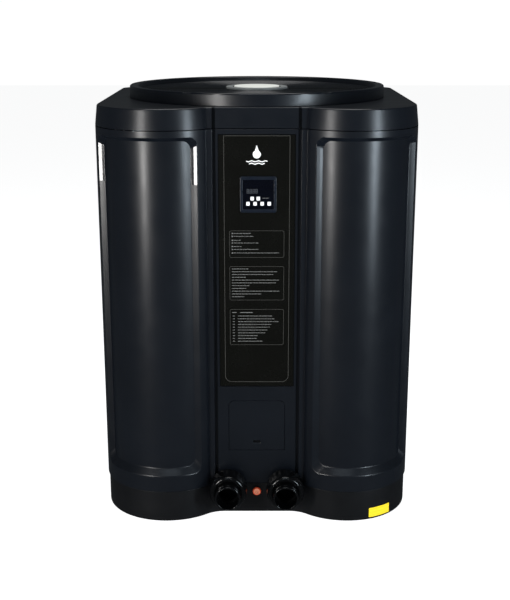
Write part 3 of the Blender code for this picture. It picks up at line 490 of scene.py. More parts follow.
def brass_finish():
    tree = Tree("terminal_brass").set(Metallic=1.0).mottle((0.58, 0.42, 0.18), (0.72, 0.55, 0.26), 120.0)
    return tree.roughness(0.25, 0.4, 200.0).grain(0.00003, 0.2, 900.0).material


FINISHES = {
    "casing": casing_finish, "polished": polished_finish, "base": base_finish, "label": label_finish,
    "print": print_finish, "text": text_finish, "emblem": emblem_finish, "bezel": bezel_finish,
    "screen": screen_finish, "digit": digit_finish, "button": key_finish, "union": union_and_groove_shade_finish,
    "drain": drain_finish, "drain_centre": drain_centre_finish, "sticker": sticker_finish,
    "badge": badge_finish, "cap": cap_finish, "rubber": rubber_finish, "fins": fin_finish,
    "steel": steel_finish, "screw": screw_finish, "motor": motor_finish, "copper": copper_finish,
    "pvc": pvc_finish, "board": board_finish, "brass": brass_finish,
}
MADE = {}


def finish(name):
    """The finish of that name, made once."""
    if name not in MADE:
        MADE[name] = FINISHES[name]()
    return MADE[name]


# ---------------------------------------------------------------- shape tools

def add_piece(name, shape, looks, body="cabinet", replaces=(), sharp=40.0):
    """Turns a bmesh into a piece that rides on a body of the frame."""
    bmesh.ops.recalc_face_normals(shape, faces=shape.faces)
    mesh = bpy.data.meshes.new(name)
    shape.to_mesh(mesh)
    shape.free()
    for look in looks:
        mesh.materials.append(finish(look))
    mesh.shade_smooth()
    mesh.set_sharp_from_angle(angle=math.radians(sharp))
    made = bpy.data.objects.new(name, mesh)
    bpy.context.scene.collection.objects.link(made)
    shading = made.modifiers.new("even shading", "WEIGHTED_NORMAL")
    shading.keep_sharp = True
    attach(made, body)
    if replaces:
        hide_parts(*replaces)
    return made


def new_ring(shape, points):
    """A closed ring of vertices and edges."""
    ring = [shape.verts.new(point) for point in points]
    for pair in zip(ring, ring[1:] + ring[:1]):
        shape.edges.new(pair)
    return ring


def ring_edges(shape, ring):
    return [shape.edges.get(pair) for pair in zip(ring, ring[1:] + ring[:1])]


def grow(shape, ring, points):
    """Extrudes a ring's edges and puts the new ring at points, in the same order."""
    made = bmesh.ops.extrude_edge_only(shape, edges=ring_edges(shape, ring))["geom"]
    fresh = {item for item in made if isinstance(item, bmesh.types.BMVert)}
    moved = []
    for old, place in zip(ring, points):
        new = next(edge.other_vert(old) for edge in old.link_edges if edge.other_vert(old) in fresh)
        new.co = place
        moved.append(new)
    return moved


def skin(shape, loops, start=None):
    """Grows through a list of loops and returns the first ring and the last."""
    first = start or new_ring(shape, loops[0])
    ring = first
    for points in loops if start else loops[1:]:
        ring = grow(shape, ring, points)
    return first, ring


def skin_round(shape, loops):
    """Grows through loops and joins the last to the first, which closes a ring-shaped solid."""
    first, last = skin(shape, loops)
    bmesh.ops.bridge_loops(shape, edges=ring_edges(shape, first) + ring_edges(shape, last))
    return shape


def cap(shape, ring):
    bmesh.ops.contextual_create(shape, geom=ring_edges(shape, ring))


def fill_between(shape, *rings):
    """Fills the flat region that the first ring bounds, less the other rings."""
    edges = [edge for ring in rings for edge in ring_edges(shape, ring)]
    bmesh.ops.triangle_fill(shape, edges=edges, use_beauty=True, use_dissolve=False)


def tidy(shape, distance=0.00001):
    bmesh.ops.remove_doubles(shape, verts=shape.verts, dist=distance)
    bmesh.ops.dissolve_degenerate(shape, edges=shape.edges, dist=distance / 10)
    loose = [edge for edge in shape.edges if not edge.link_faces]
    bmesh.ops.delete(shape, geom=loose, context="EDGES")


def thicken(shape, thickness):
    """Gives an open surface a wall behind it."""
    bmesh.ops.solidify(shape, geom=shape.faces[:], thickness=thickness)


def round_edges(shape, edges, width, segments=2):
    bmesh.ops.bevel(
        shape, geom=edges, offset=width, offset_type="OFFSET", segments=segments,
        profile=0.5, affect="EDGES", clamp_overlap=True, material=-1,
    )


def soften(shape, width, angle=50.0):
    """Rounds the edges that are sharper than an angle in degrees."""
    bmesh.ops.recalc_face_normals(shape, faces=shape.faces)
    limit = math.radians(angle)
    sharp = [e for e in shape.edges if len(e.link_faces) == 2 and e.calc_face_angle() > limit]
    round_edges(shape, sharp, width)


def push_faces(shape, move):
    """Gives flat faces a thickness: extrudes them all and moves the new ones."""
    made = bmesh.ops.extrude_face_region(shape, geom=shape.faces[:])["geom"]
    pushed = [item for item in made if isinstance(item, bmesh.types.BMVert)]
    bmesh.ops.translate(shape, verts=pushed, vec=move)


def spin_round(shape, points, centre, axis, steps):
    """Spins a closed loop of points once round an axis."""
    ring = new_ring(shape, points)
    bmesh.ops.spin(
        shape, geom=ring + ring_edges(shape, ring), cent=centre, axis=axis, angle=2 * math.pi,
        steps=steps, use_merge=True, use_duplicate=False,
    )
    used = [vertex for vertex in shape.verts if not vertex.link_faces]
    bmesh.ops.delete(shape, geom=used, context="VERTS")


def upright(profile, x=0.0, y=0.0):
    """(radius, height) points turned about a vertical line."""
    return [(x + radius, y, height) for radius, height in profile]


def box_into(shape, low, high, turn=None):
    """Adds a box between two corners, turned about its middle if asked."""
    low, high = Vector(low), Vector(high)
    place = Matrix.Translation((low + high) / 2) @ (turn or Matrix.Identity(4))
    made = bmesh.ops.create_cube(shape, size=1.0, matrix=place @ Matrix.Diagonal((*(high - low), 1.0)))
    return made["verts"]


def softened_box(low, high, radius, segments=3):
    shape = bmesh.new()
    box_into(shape, low, high)
    round_edges(shape, shape.edges[:], radius, segments)
    return shape


def mirror_left(shape):
    """Turns a right-hand shape into its left-hand twin."""
    bmesh.ops.scale(shape, verts=shape.verts, vec=(-1.0, 1.0, 1.0))
    bmesh.ops.reverse_faces(shape, faces=shape.faces)
    return shape


# ---------------------------------------------------------------- outlines

def arc(centre, radius, start, end, step=ARC_STEP):
    """Points round an arc. Angles are in radians from -Y, positive towards +X."""
    count = max(1, math.ceil(abs(end - start) / step - 0.01))
    angles = [start + (end - start) * k / count for k in range(count + 1)]
    return [Vector((centre[0] + radius * math.sin(a), centre[1] - radius * math.cos(a))) for a in angles]


def rounded_corner(before, corner, after, radius, steps=3):
    """Points round a corner of a path."""
    back = (before - corner).normalized()
    ahead = (after - corner).normalized()
    half = back.angle(ahead) / 2
    reach = radius / math.tan(half)
    start, end = corner + back * reach, corner + ahead * reach
    shares = [k / steps for k in range(steps + 1)]
    return [start * (1 - t) ** 2 + corner * 2 * t * (1 - t) + end * t**2 for t in shares]


def column_start_angle():
    return -math.asin((COLUMN_X - COLUMN_INNER_X) / COLUMN_RADIUS)


def land_route(radius=0.0009):
    """From the column's round face inwards: a step down to the flat land, and into the groove."""
    edge = CENTRE_HALF + GROOVE
    corners = [
        arc((COLUMN_X, COLUMN_Y), COLUMN_RADIUS, column_start_angle(), 0)[0],
        Vector((edge + LAND_WIDTH, LAND_Y)),
        Vector((edge, LAND_Y)),
        Vector((edge, LAND_Y + GROOVE_DEPTH)),
    ]
    route = corners[:1]
    for triple in zip(corners, corners[1:], corners[2:]):
        route += rounded_corner(*triple, radius)
    return route + corners[-1:]


def route_lengths(route):
    total, lengths = 0.0, [0.0]
    for first, second in zip(route, route[1:]):
        total += (second - first).length
        lengths.append(total)
    return lengths


LAND = land_route()
LAND_LENGTHS = route_lengths(LAND)


def on_casing(along, depth):
    """The plan point at a distance round the right column from its front-most line, and at a depth."""
    start = column_start_angle() * COLUMN_RADIUS
    quarter = COLUMN_RADIUS * math.pi / 2
    if along > quarter:
        return HALF_WIDTH - depth, COLUMN_Y + along - quarter
    if along >= start:
        angle = along / COLUMN_RADIUS
        radius = COLUMN_RADIUS - depth
        return COLUMN_X + radius * math.sin(angle), COLUMN_Y - radius * math.cos(angle)
    gone = start - along
    for k, length in enumerate(LAND_LENGTHS[1:]):
        if gone <= length + 1e-7:
            share = (gone - LAND_LENGTHS[k]) / (length - LAND_LENGTHS[k])
            return tuple(LAND[k].lerp(LAND[k + 1], share))
    return tuple(LAND[-1])


def rounded_rectangle(low, high, bottom, top, radius, low_radius=None, steps=8):
    """(x, z) points, anticlockwise seen from the front, starting at the top right corner."""
    below = radius if low_radius is None else low_radius
    corners = [(high, top, radius), (low, top, radius), (low, bottom, below), (high, bottom, below)]
    points = []
    for quarter, (x, z, bend) in enumerate(corners):
        inward_x = -1 if quarter in (0, 3) else 1
        inward_z = -1 if quarter in (0, 1) else 1
        if bend <= 0:
            points.append((x, z))
            continue
        for k in range(steps + 1):
            angle = (quarter + k / steps) * math.pi / 2
            points.append((x + bend * (inward_x + math.cos(angle)), z + bend * (inward_z + math.sin(angle))))
    return points


def facing(points, y):
    """(x, z) points stood up at a depth."""
    return [Vector((x, y, z)) for x, z in points]


def rear_corner():
    centre = (HALF_WIDTH - REAR_CORNER, CASING_REAR - REAR_CORNER)
    return arc(centre, REAR_CORNER, math.pi / 2, math.pi, math.radians(7.5))


def lid_outline():
    """The lid in plan, anticlockwise seen from above, with the grooves by its centre face."""
    floor, edge = CENTRE_FACE_Y + LID_GROOVE_FLOOR, CENTRE_HALF + GROOVE
    half = [(CENTRE_HALF, CENTRE_FACE_Y), (CENTRE_HALF, floor), (edge, floor), (edge, LAND_Y)]
    half = [Vector(point) for point in half] + [Vector((edge + LAND_WIDTH, LAND_Y))]
    half += arc((COLUMN_X, COLUMN_Y), COLUMN_RADIUS, column_start_angle(), math.pi / 2)
    return both_halves(half + rear_corner())


def base_outline():
    """The base in plan: each column runs into the centre face through a hollow fillet."""
    drop = COLUMN_Y - (CENTRE_FACE_Y - BASE_FILLET)
    reach = math.sqrt((COLUMN_RADIUS + BASE_FILLET) ** 2 - drop**2)
    centre = (COLUMN_X - reach, CENTRE_FACE_Y - BASE_FILLET)
    meet = math.asin(reach / (COLUMN_RADIUS + BASE_FILLET))
    hollow = arc(centre, BASE_FILLET, math.pi, math.pi - meet)
    half = hollow[:-1] + arc((COLUMN_X, COLUMN_Y), COLUMN_RADIUS, -meet, math.pi / 2)
    return both_halves(half + rear_corner())


def both_halves(half):
    return half + [Vector((-point.x, point.y)) for point in reversed(half)]


def inset(outline, distance):
    """A closed outline moved inwards. It runs anticlockwise seen from above."""
    moved = []
    for before, here, after in zip(outline[-1:] + outline[:-1], outline, outline[1:] + outline[:1]):
        first, second = (here - before).normalized(), (after - here).normalized()
        along = (first + second).normalized()
        inward = Vector((-along.y, along.x))
        square = max(inward.dot(Vector((-first.y, first.x))), 0.5)
        moved.append(here + inward * distance / square)
    return moved


def levels(outline, profile):
    """Loops of an outline at each (inset, height). The grooves by the centre face keep their width."""
    loops = []
    for distance, height in profile:
        loop = []
        for before, after in zip(outline, inset(outline, distance)):
            by_groove = before.y < FRONT_ZONE_Y and abs(before.x) < CENTRE_HALF + GROOVE + LAND_WIDTH + 1e-6
            loop.append(Vector((before.x, before.y + distance, height) if by_groove else (*after, height)))
        loops.append(loop)
    return loops


def circle(radius, height, count=96):
    angles = [2 * math.pi * k / count for k in range(count)]
    return [Vector((radius * math.cos(a), FAN_Y + radius * math.sin(a), height)) for a in angles]


def quarter_round(start, height, radius, steps=4):
    """(inset, height) points of a fillet that ends at its top height."""
    angles = [math.pi / 2 * k / steps for k in range(steps + 1)]
    return [(start + radius * (1 - math.cos(a)), height - radius + radius * math.sin(a)) for a in angles]


# ---------------------------------------------------------------- casing

def eased(share, lead_in=0.15, lead_out=0.15):
    """A ramp from 0 to 1 whose two ends are rounded."""
    slope = 1.0 / (1.0 - lead_in / 2 - lead_out / 2)
    if share < lead_in:
        return slope * share**2 / (2 * lead_in)
    if share > 1 - lead_out:
        return 1 - slope * (1 - share) ** 2 / (2 * lead_out)
    return slope * (share - lead_in / 2)


def column_shape(polished_from):
    """The right column's shell: a flat plate with a recess, bent round the column, with a wall behind it."""
    start = column_start_angle() * COLUMN_RADIUS
    quarter = COLUMN_RADIUS * math.pi / 2
    near, far = start - LAND_LENGTHS[-1], quarter + COLUMN_HIGH.y - COLUMN_Y
    bottom, top = COLUMN_LOW.z, COLUMN_HIGH.z
    low, high = (COLUMN_RADIUS * math.radians(a) for a in WINDOW_ANGLES)
    shape = bmesh.new()
    loops = [[Vector((x, 0.0, z)) for x, z in rounded_rectangle(near, far, bottom, top, 1e-7)]]
    for share in (0.0, 0.04, 0.08, 0.12, 0.15, 0.5, 0.85, 0.88, 0.92, 0.96, 1.0):
        outline = rounded_rectangle(
            low + WINDOW_INNER_RUN * share, high - WINDOW_OUTER_RUN * share,
            WINDOW_BOTTOM + WINDOW_SILL_RUN * share, WINDOW_TOP - WINDOW_TOP_RUN * share, WINDOW_CORNER,
        )
        loops.append([Vector((x, WINDOW_DEPTH * eased(share), z)) for x, z in outline])
    _, floor = skin(shape, loops)
    cap(shape, floor)
    bmesh.ops.bisect_plane(
        shape, geom=shape.verts[:] + shape.edges[:] + shape.faces[:], dist=1e-7,
        plane_co=(0.0, 0.0, polished_from), plane_no=(0.0, 0.0, 1.0),
    )
    for face in shape.faces:
        depths = [vertex.co.y for vertex in face.verts]
        heights = [vertex.co.z for vertex in face.verts]
        walls = min(heights) > polished_from - 0.0001 and max(heights) < WINDOW_TOP - 0.006
        face.material_index = int(walls and max(depths) - min(depths) > 1e-6)
    cuts = [start - length for length in LAND_LENGTHS[:-1]] + [quarter]
    cuts += [COLUMN_RADIUS * (column_start_angle() + ARC_STEP * k) for k in range(1, 53)]
    for along in sorted(cuts):
        bmesh.ops.bisect_plane(
            shape, geom=shape.verts[:] + shape.edges[:] + shape.faces[:], dist=1e-7,
            plane_co=(along, 0.0, 0.0), plane_no=(1.0, 0.0, 0.0),
        )
    for vertex in shape.verts:
        vertex.co.x, vertex.co.y = on_casing(vertex.co.x, vertex.co.y)
    tidy(shape, 0.000005)
    bmesh.ops.recalc_face_normals(shape, faces=shape.faces)
    outermost = max(shape.faces, key=lambda face: face.calc_center_median().x)
    if outermost.normal.x < 0:
        bmesh.ops.reverse_faces(shape, faces=shape.faces)
    thicken(shape, WALL)
    soften(shape, sizes().edge)
    return shape


def build_columns():
    add_piece(
        "right_column_shell", column_shape(WINDOW_TOP - 0.020), ["casing", "polished"],
        replaces=["front_right_column"],
    )
    add_piece(
        "left_column_shell", mirror_left(column_shape(WINDOW_POLISH)), ["casing", "polished"],
        replaces=["front_left_column"],
    )


def build_base():
    """The tray: a skirt with a rounded foot, a step that the body stands over, and its deck."""
    edge = sizes().edge
    deck, under = 0.0165, 0.0125
    inside = BASE_INSET + LIP_STEP + WALL
    profile = [
        (inside, under), (BASE_INSET + 0.0050, BASE_LOW.z + 0.0004), (BASE_INSET + 0.0040, BASE_LOW.z),
        (BASE_INSET + 0.0018, BASE_LOW.z + 0.0006), (BASE_INSET + 0.0005, BASE_LOW.z + 0.0020),
        (BASE_INSET, BASE_LOW.z + 0.0042), (BASE_INSET, BASE_TOP - edge),
        (BASE_INSET + edge / 3, BASE_TOP - edge / 3), (BASE_INSET + edge, BASE_TOP),
        (BASE_INSET + LIP_STEP, BASE_TOP), (BASE_INSET + LIP_STEP, BASE_HIGH.z - edge),
        (BASE_INSET + LIP_STEP + edge, BASE_HIGH.z), (inside, BASE_HIGH.z), (inside, deck),
    ]
    shape = bmesh.new()
    outline = base_outline()
    loops = [[Vector((*point, height)) for point in inset(outline, distance)] for distance, height in profile]
    lower, upper = skin(shape, loops)
    cap(shape, lower)
    cap(shape, upper)
    add_piece("base_tray", shape, ["base"], replaces=["base_pan"])


def build_lid():
    """The lid, with a drafted side, a fillet round its top and a round hole for the fan's collar."""
    edge, fillet, draft = sizes().edge, sizes().lid_fillet, 0.0045
    profile = [(edge, LID_LOW.z), (edge / 3, LID_LOW.z + edge / 3), (0.0, LID_LOW.z + edge)]
    profile += quarter_round(draft, LID_HIGH.z, fillet)
    shape = bmesh.new()
    lower, upper = skin(shape, levels(lid_outline(), profile))
    hole_top, hole_bottom = skin(shape, [circle(LID_HOLE, LID_HIGH.z), circle(LID_HOLE, LID_LOW.z)])
    fill_between(shape, lower, hole_bottom)
    fill_between(shape, upper, hole_top)
    add_piece("lid", shape, ["casing"], replaces=["top_cover"])


def wall_shape(path, bottom, top, thickness):
    """An upright wall along an open path in plan that has the outside on its right."""
    shape = bmesh.new()
    line = [shape.verts.new((point.x, point.y, bottom)) for point in path]
    edges = [shape.edges.new(pair) for pair in zip(line, line[1:])]
    made = bmesh.ops.extrude_edge_only(shape, edges=edges)["geom"]
    raised = [item for item in made if isinstance(item, bmesh.types.BMVert)]
    bmesh.ops.translate(shape, verts=raised, vec=(0.0, 0.0, top - bottom))
    bmesh.ops.recalc_face_normals(shape, faces=shape.faces)
    shape.faces.ensure_lookup_table()
    step = path[1] - path[0]
    first = min(shape.faces, key=lambda face: (face.calc_center_median().xy - path[0]).length)
    if first.normal.xy.dot(Vector((step.y, -step.x))) < 0:
        bmesh.ops.reverse_faces(shape, faces=shape.faces)
    thicken(shape, thickness)
    return shape


def post_shape():
    path = [Vector((HALF_WIDTH, POST_LOW.y)), *rear_corner(), Vector((POST_LOW.x, CASING_REAR))]
    shape = wall_shape(path, POST_LOW.z, POST_HIGH.z, WALL)
    soften(shape, sizes().edge)
    return shape


def build_posts():
    right, left = post_shape(), mirror_left(post_shape())
    add_piece("right_rear_post_shell", right, ["casing"], replaces=["rear_right_post"])
    add_piece("left_rear_post_shell", left, ["casing"], replaces=["rear_left_post"])


def guard_shape(width, height, depth):
    """A louvred guard lying in XZ with its outer face at Y = 0, its left bottom corner at the origin."""
    stile, rail, blade_thick = 0.014, 0.014, 0.0018
    shape = bmesh.new()
    middle = width / 2
    bays = [(stile, middle - stile / 2), (middle + stile / 2, width - stile)]
    outer = new_ring(shape, facing(rounded_rectangle(0, width, 0, height, 0.0015, steps=2), 0.0))
    holes = [
        new_ring(shape, facing(rounded_rectangle(low, high, rail, height - rail, 0.003, steps=3), 0.0))
        for low, high in bays
    ]
    fill_between(shape, outer, *holes)
    push_faces(shape, (0.0, depth, 0.0))
    soften(shape, sizes().edge)
    rows = round((height - 2 * rail) / sizes().louvre_pitch)
    pitch = (height - 2 * rail) / rows
    turn = Matrix.Rotation(math.radians(-38), 4, "X")
    for low, high in bays:
        for row in range(rows):
            z = rail + pitch * (row + 0.5)
            blade = bmesh.new()
            box_into(
                blade, (low - 0.001, depth / 2 - 0.0065, z - blade_thick / 2),
                (high + 0.001, depth / 2 + 0.0065, z + blade_thick / 2), turn,
            )
            long_edges = [e for e in blade.edges if abs((e.verts[0].co - e.verts[1].co).x) > 0.02]
            round_edges(blade, long_edges, 0.0006)
            bmesh.ops.translate(blade, verts=blade.verts, vec=(0.0, 0.0010, 0.0))
            join_into(shape, blade)
    return shape


def join_into(shape, other):
    """Moves another bmesh's faces into this one."""
    mesh = bpy.data.meshes.new("part")
    other.to_mesh(mesh)
    other.free()
    shape.from_mesh(mesh)
    bpy.data.meshes.remove(mesh)


def build_guards():
    depth = GUARD_HIGH.x - GUARD_LOW.x
    side, height = GUARD_HIGH.y - GUARD_LOW.y, GUARD_HIGH.z - GUARD_LOW.z
    rear = REAR_GUARD_HIGH.x - REAR_GUARD_LOW.x
    places = {
        "right": (side, Matrix.Translation((GUARD_HIGH.x, GUARD_LOW.y, GUARD_LOW.z)), 90),
        "left": (side, Matrix.Translation((-GUARD_HIGH.x, GUARD_HIGH.y, GUARD_LOW.z)), -90),
        "rear": (rear, Matrix.Translation((REAR_GUARD_HIGH.x, REAR_GUARD_HIGH.y, REAR_GUARD_LOW.z)), 180),
    }
    for name, (width, place, angle) in places.items():
        shape = guard_shape(width, height, depth)
        turned = place @ Matrix.Rotation(math.radians(angle), 4, "Z")
        bmesh.ops.transform(shape, matrix=turned, verts=shape.verts)
        add_piece(f"{name}_louvre_guard", shape, ["casing"], replaces=[f"{name}_coil_guard"])


# ---------------------------------------------------------------- fan, collar and grille

def build_collar():
    """The round collar on the lid: a drafted wall, a rolled rim with two notches, and the duct inside."""
    top, bottom = RING_HIGH.z, LID_HIGH.z + 0.0003
    duct = RING_LOW.z
    profile = [
        (RIM_INNER + 0.0040, top - 0.0004), (RIM_INNER + 0.0060, top - 0.0012),
        (RING_RADIUS - 0.0075, top - 0.0012), (RING_RADIUS - 0.0055, top - 0.0004),
        (RING_RADIUS - 0.0040, top), (RING_RADIUS - 0.0022, top - 0.0002),
        (RING_RADIUS - 0.0008, top - 0.0012), (RING_RADIUS, top - 0.0035), (RING_RADIUS, bottom + 0.0006),
        (RING_RADIUS - 0.0006, bottom), (DUCT_RADIUS + 0.0060, bottom), (DUCT_RADIUS + 0.0040, duct),
        (DUCT_RADIUS, duct), (DUCT_RADIUS + 0.0020, top - 0.0160), (RIM_INNER, top - 0.0060),
        (RIM_INNER + 0.0008, top - 0.0025), (RIM_INNER + 0.0022, top - 0.0008),
    ]
    shape = bmesh.new()
    spin_round(shape, upright(profile, y=FAN_Y), (0, FAN_Y, 0), (0, 0, 1), 180)
    for vertex in shape.verts:
        flat = Vector((vertex.co.x, vertex.co.y - FAN_Y))
        azimuth = abs(math.atan2(flat.x, -flat.y))
        if abs(azimuth - NOTCH_AZIMUTH) < math.radians(1.1) and flat.length > RING_RADIUS - 0.009:
            vertex.co.z = min(vertex.co.z, top - 0.0040)
    for face in shape.faces:
        face.material_index = int(face.calc_center_median().z > top - 0.0030)
    add_piece("fan_collar", shape, ["casing", "polished"], replaces=["fan_ring"])


def build_grille():
    """Fine concentric ribs, tied underneath by straight bars."""
    pitch, rib = sizes().grille_pitch, sizes().grille_rib
    low, high = GRILLE_LOW.z + 0.0004, GRILLE_HIGH.z
    inner, outer = CAP_HIGH.x - 0.004, DUCT_RADIUS + 0.0005
    count = round((outer - inner) / pitch)
    shape = bmesh.new()
    for k in range(count + 1):
        radius = inner + (outer - inner) * k / count - (rib / 2 if k == count else 0.0)
        section = [
            (radius - rib / 2, low), (radius + rib / 2, low), (radius + rib / 2, high - rib * 0.12),
            (radius + rib * 0.38, high), (radius - rib * 0.38, high), (radius - rib / 2, high - rib * 0.12),
        ]
        spin_round(shape, upright(section, y=FAN_Y), (0, FAN_Y, 0), (0, 0, 1), 112)
    for k in range(sizes().grille_bars):
        angle = 2 * math.pi * (k + 0.5) / sizes().grille_bars
        bar = bmesh.new()
        box_into(bar, (inner, -0.0016, low - 0.0030), (outer - 0.001, 0.0016, low + 0.0008))
        soften(bar, 0.0006)
        place = Matrix.Translation((0, FAN_Y, 0)) @ Matrix.Rotation(angle, 4, "Z")
        bmesh.ops.transform(bar, matrix=place, verts=bar.verts)
        join_into(shape, bar)
    add_piece("fan_guard_grille", shape, ["casing"], replaces=["fan_grille"])


def build_cap():
    """The silver cap in the middle of the grille, and its plain badge."""
    base, top, radius = CAP_LOW.z, CAP_HIGH.z, CAP_HIGH.x
    seat = BADGE_HIGH.x + 0.0014
    ring = [
        (radius - 0.0010, top), (radius, top - 0.0014), (radius, base), (0.0, base), (0.0, top - 0.0012),
        (seat - 0.0044, top - 0.0012), (seat - 0.0044, top - 0.0040), (seat, top - 0.0040),
        (seat, top - 0.0012), (seat + 0.0006, top),
    ]
    shape = bmesh.new()
    spin_round(shape, upright(ring, y=FAN_Y), (0, FAN_Y, 0), (0, 0, 1), 96)
    tidy(shape)
    # The groove round the badge seat takes the dark union finish: painted shade in the groove.
    for face in shape.faces:
        middle = face.calc_center_median()
        reach = math.hypot(middle.x, middle.y - FAN_Y)
        face.material_index = int(seat - 0.0045 < reach < seat + 0.0002 and middle.z > base + 0.0002)
    add_piece("motor_cap", shape, ["cap", "union"], replaces=["grille_cap"])
    face = BADGE_HIGH.x - 0.0028
    disc = [
        (face - 0.0008, BADGE_HIGH.z), (face, BADGE_HIGH.z - 0.0006), (face, top - 0.0011),
        (0.0, top - 0.0011), (0.0, BADGE_HIGH.z - 0.0003), (face * 0.62, BADGE_HIGH.z - 0.0003),
        (face * 0.64, BADGE_HIGH.z),
    ]
    shape = bmesh.new()
    spin_round(shape, upright(disc, y=FAN_Y), (0, FAN_Y, 0), (0, 0, 1), 96)
    tidy(shape)
    add_piece("cap_badge", shape, ["badge"], replaces=["grille_badge"])


def build_fan():
    """The impeller: a filleted hub and four broad twisted blades, on a bright shaft."""
    hub_radius, tip = 0.058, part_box("fan_impeller")[1].x
    hub_bottom, middle, hub_top = 0.872, 0.900, 0.928
    hub = [(0.0, hub_top), (0.0, hub_top - 0.012), (0.0085, hub_top - 0.012), (0.0085, hub_bottom)]
    hub += [(hub_radius - 0.001, hub_bottom), (hub_radius, hub_bottom + 0.001)]
    hub += [(hub_radius - x, z) for x, z in quarter_round(0.0, hub_top, 0.007)]
    shape = bmesh.new()
    spin_round(shape, upright(hub, y=FAN_Y), (0, FAN_Y, 0), (0, 0, 1), 72)
    tidy(shape)
    for k in range(4):
        blade = bmesh.new()
        bmesh.ops.create_grid(blade, x_segments=26, y_segments=18, size=1.0)
        for vertex in blade.verts:
            out, chord = (vertex.co.x + 1) / 2, vertex.co.y
            tuck = 1 - 0.20 * max(0.0, out - 0.80) / 0.20 * abs(chord) ** 2
            radius = hub_radius - 0.006 + (tip - hub_radius + 0.006) * out * (0.985 + 0.015 * tuck)
            sweep = math.radians(34 - 4 * out) * chord * tuck + math.radians(12) * out
            lift = 0.021 * chord + 0.006 * (1 - chord**2)
            vertex.co = (radius * math.cos(sweep), radius * math.sin(sweep), middle + lift)
        thicken(blade, 0.0026)
        soften(blade, 0.0008)
        place = Matrix.Translation((0, FAN_Y, 0)) @ Matrix.Rotation(2 * math.pi * k / 4, 4, "Z")
        bmesh.ops.transform(blade, matrix=place, verts=blade.verts)
        join_into(shape, blade)
    add_piece("impeller", shape, ["motor"], body="fan_rotor", replaces=["fan_impeller"])


# ---------------------------------------------------------------- centre panel

def hatch_outline(grown=0.0, steps=8):
    """(x, z) points of the hatch: square at its foot, round at its top corners."""
    half = HATCH_HALF + grown
    low, high, corner = HATCH_LOW.z - grown, HATCH_HIGH.z + grown, 0.012
    points = [(-half, low), (half, low), (half, HINGE_Z - 0.00402), (half, HINGE_Z - 0.00398)]
    for centre_x, start in ((half - corner, 0.0), (corner - half, math.pi / 2)):
        angles = [start + math.pi / 2 * k / steps for k in range(steps + 1)]
        points += [(centre_x + corner * math.cos(a), high - corner + corner * math.sin(a)) for a in angles]
    return points + [(-half, HINGE_Z - 0.00398), (-half, HINGE_Z - 0.00402)]


def shrunk(points, distance):
    """An (x, z) outline pulled in evenly towards its middle."""
    flat = inset([Vector(point) for point in points], distance)
    return [tuple(point) for point in flat]


def ledge(point):
    """Where the hatch's opening runs behind its rebate: narrower below the hinge, open above it."""
    x, z = point
    if z > HINGE_Z - 0.004:
        return point
    half = HATCH_HALF - HATCH_LEDGE
    return max(-half, min(half, x)), max(HATCH_LOW.z + HATCH_LEDGE, z)


def build_panel():
    """The set-back panel, with a recess for the label and a rebated opening for the hatch."""
    front, back, edge = CENTRE_FACE_Y, PANEL_HIGH.y, sizes().edge
    outer = rounded_rectangle(-CENTRE_HALF, CENTRE_HALF, PANEL_LOW.z, PANEL_HIGH.z, 0.0, steps=1)
    shape = bmesh.new()
    inner = rounded_rectangle(
        -CENTRE_HALF + edge, CENTRE_HALF - edge, PANEL_LOW.z + edge, PANEL_HIGH.z - edge, 0.0, steps=1,
    )
    reach = CENTRE_HALF + GROOVE - 0.0003
    wide = rounded_rectangle(-reach, reach, PANEL_LOW.z, PANEL_HIGH.z, 0.0, steps=1)
    behind, rim = skin(shape, [
        facing(wide, back), facing(wide, back - 0.003), facing(outer, back - 0.003),
        facing(outer, front + edge), facing(inner, front),
    ])
    margin = 0.0010
    bed = rounded_rectangle(
        LABEL_LOW.x - margin, LABEL_HIGH.x + margin, LABEL_LOW.z - margin,
        LABEL_HIGH.z + margin, 0.002, steps=4,
    )
    wide = rounded_rectangle(
        LABEL_LOW.x - margin - edge, LABEL_HIGH.x + margin + edge, LABEL_LOW.z - margin - edge,
        LABEL_HIGH.z + margin + edge, 0.0025, steps=4,
    )
    floor_y = LABEL_HIGH.y + 0.0002
    recess, floor = skin(shape, [facing(wide, front), facing(bed, front + edge), facing(bed, floor_y)])
    cap(shape, floor)
    opening = hatch_outline(0.0008)
    narrower = [ledge(point) for point in opening]
    step_y = front + 0.0048
    lip, rear = skin(shape, [
        facing(hatch_outline(0.0012), front), facing(opening, front + 0.0004), facing(opening, step_y),
        facing(narrower, step_y), facing(narrower, back),
    ])
    fill_between(shape, rim, recess, lip)
    fill_between(shape, behind, rear)
    tidy(shape)
    add_piece("centre_panel", shape, ["casing"], replaces=["front_panel"])


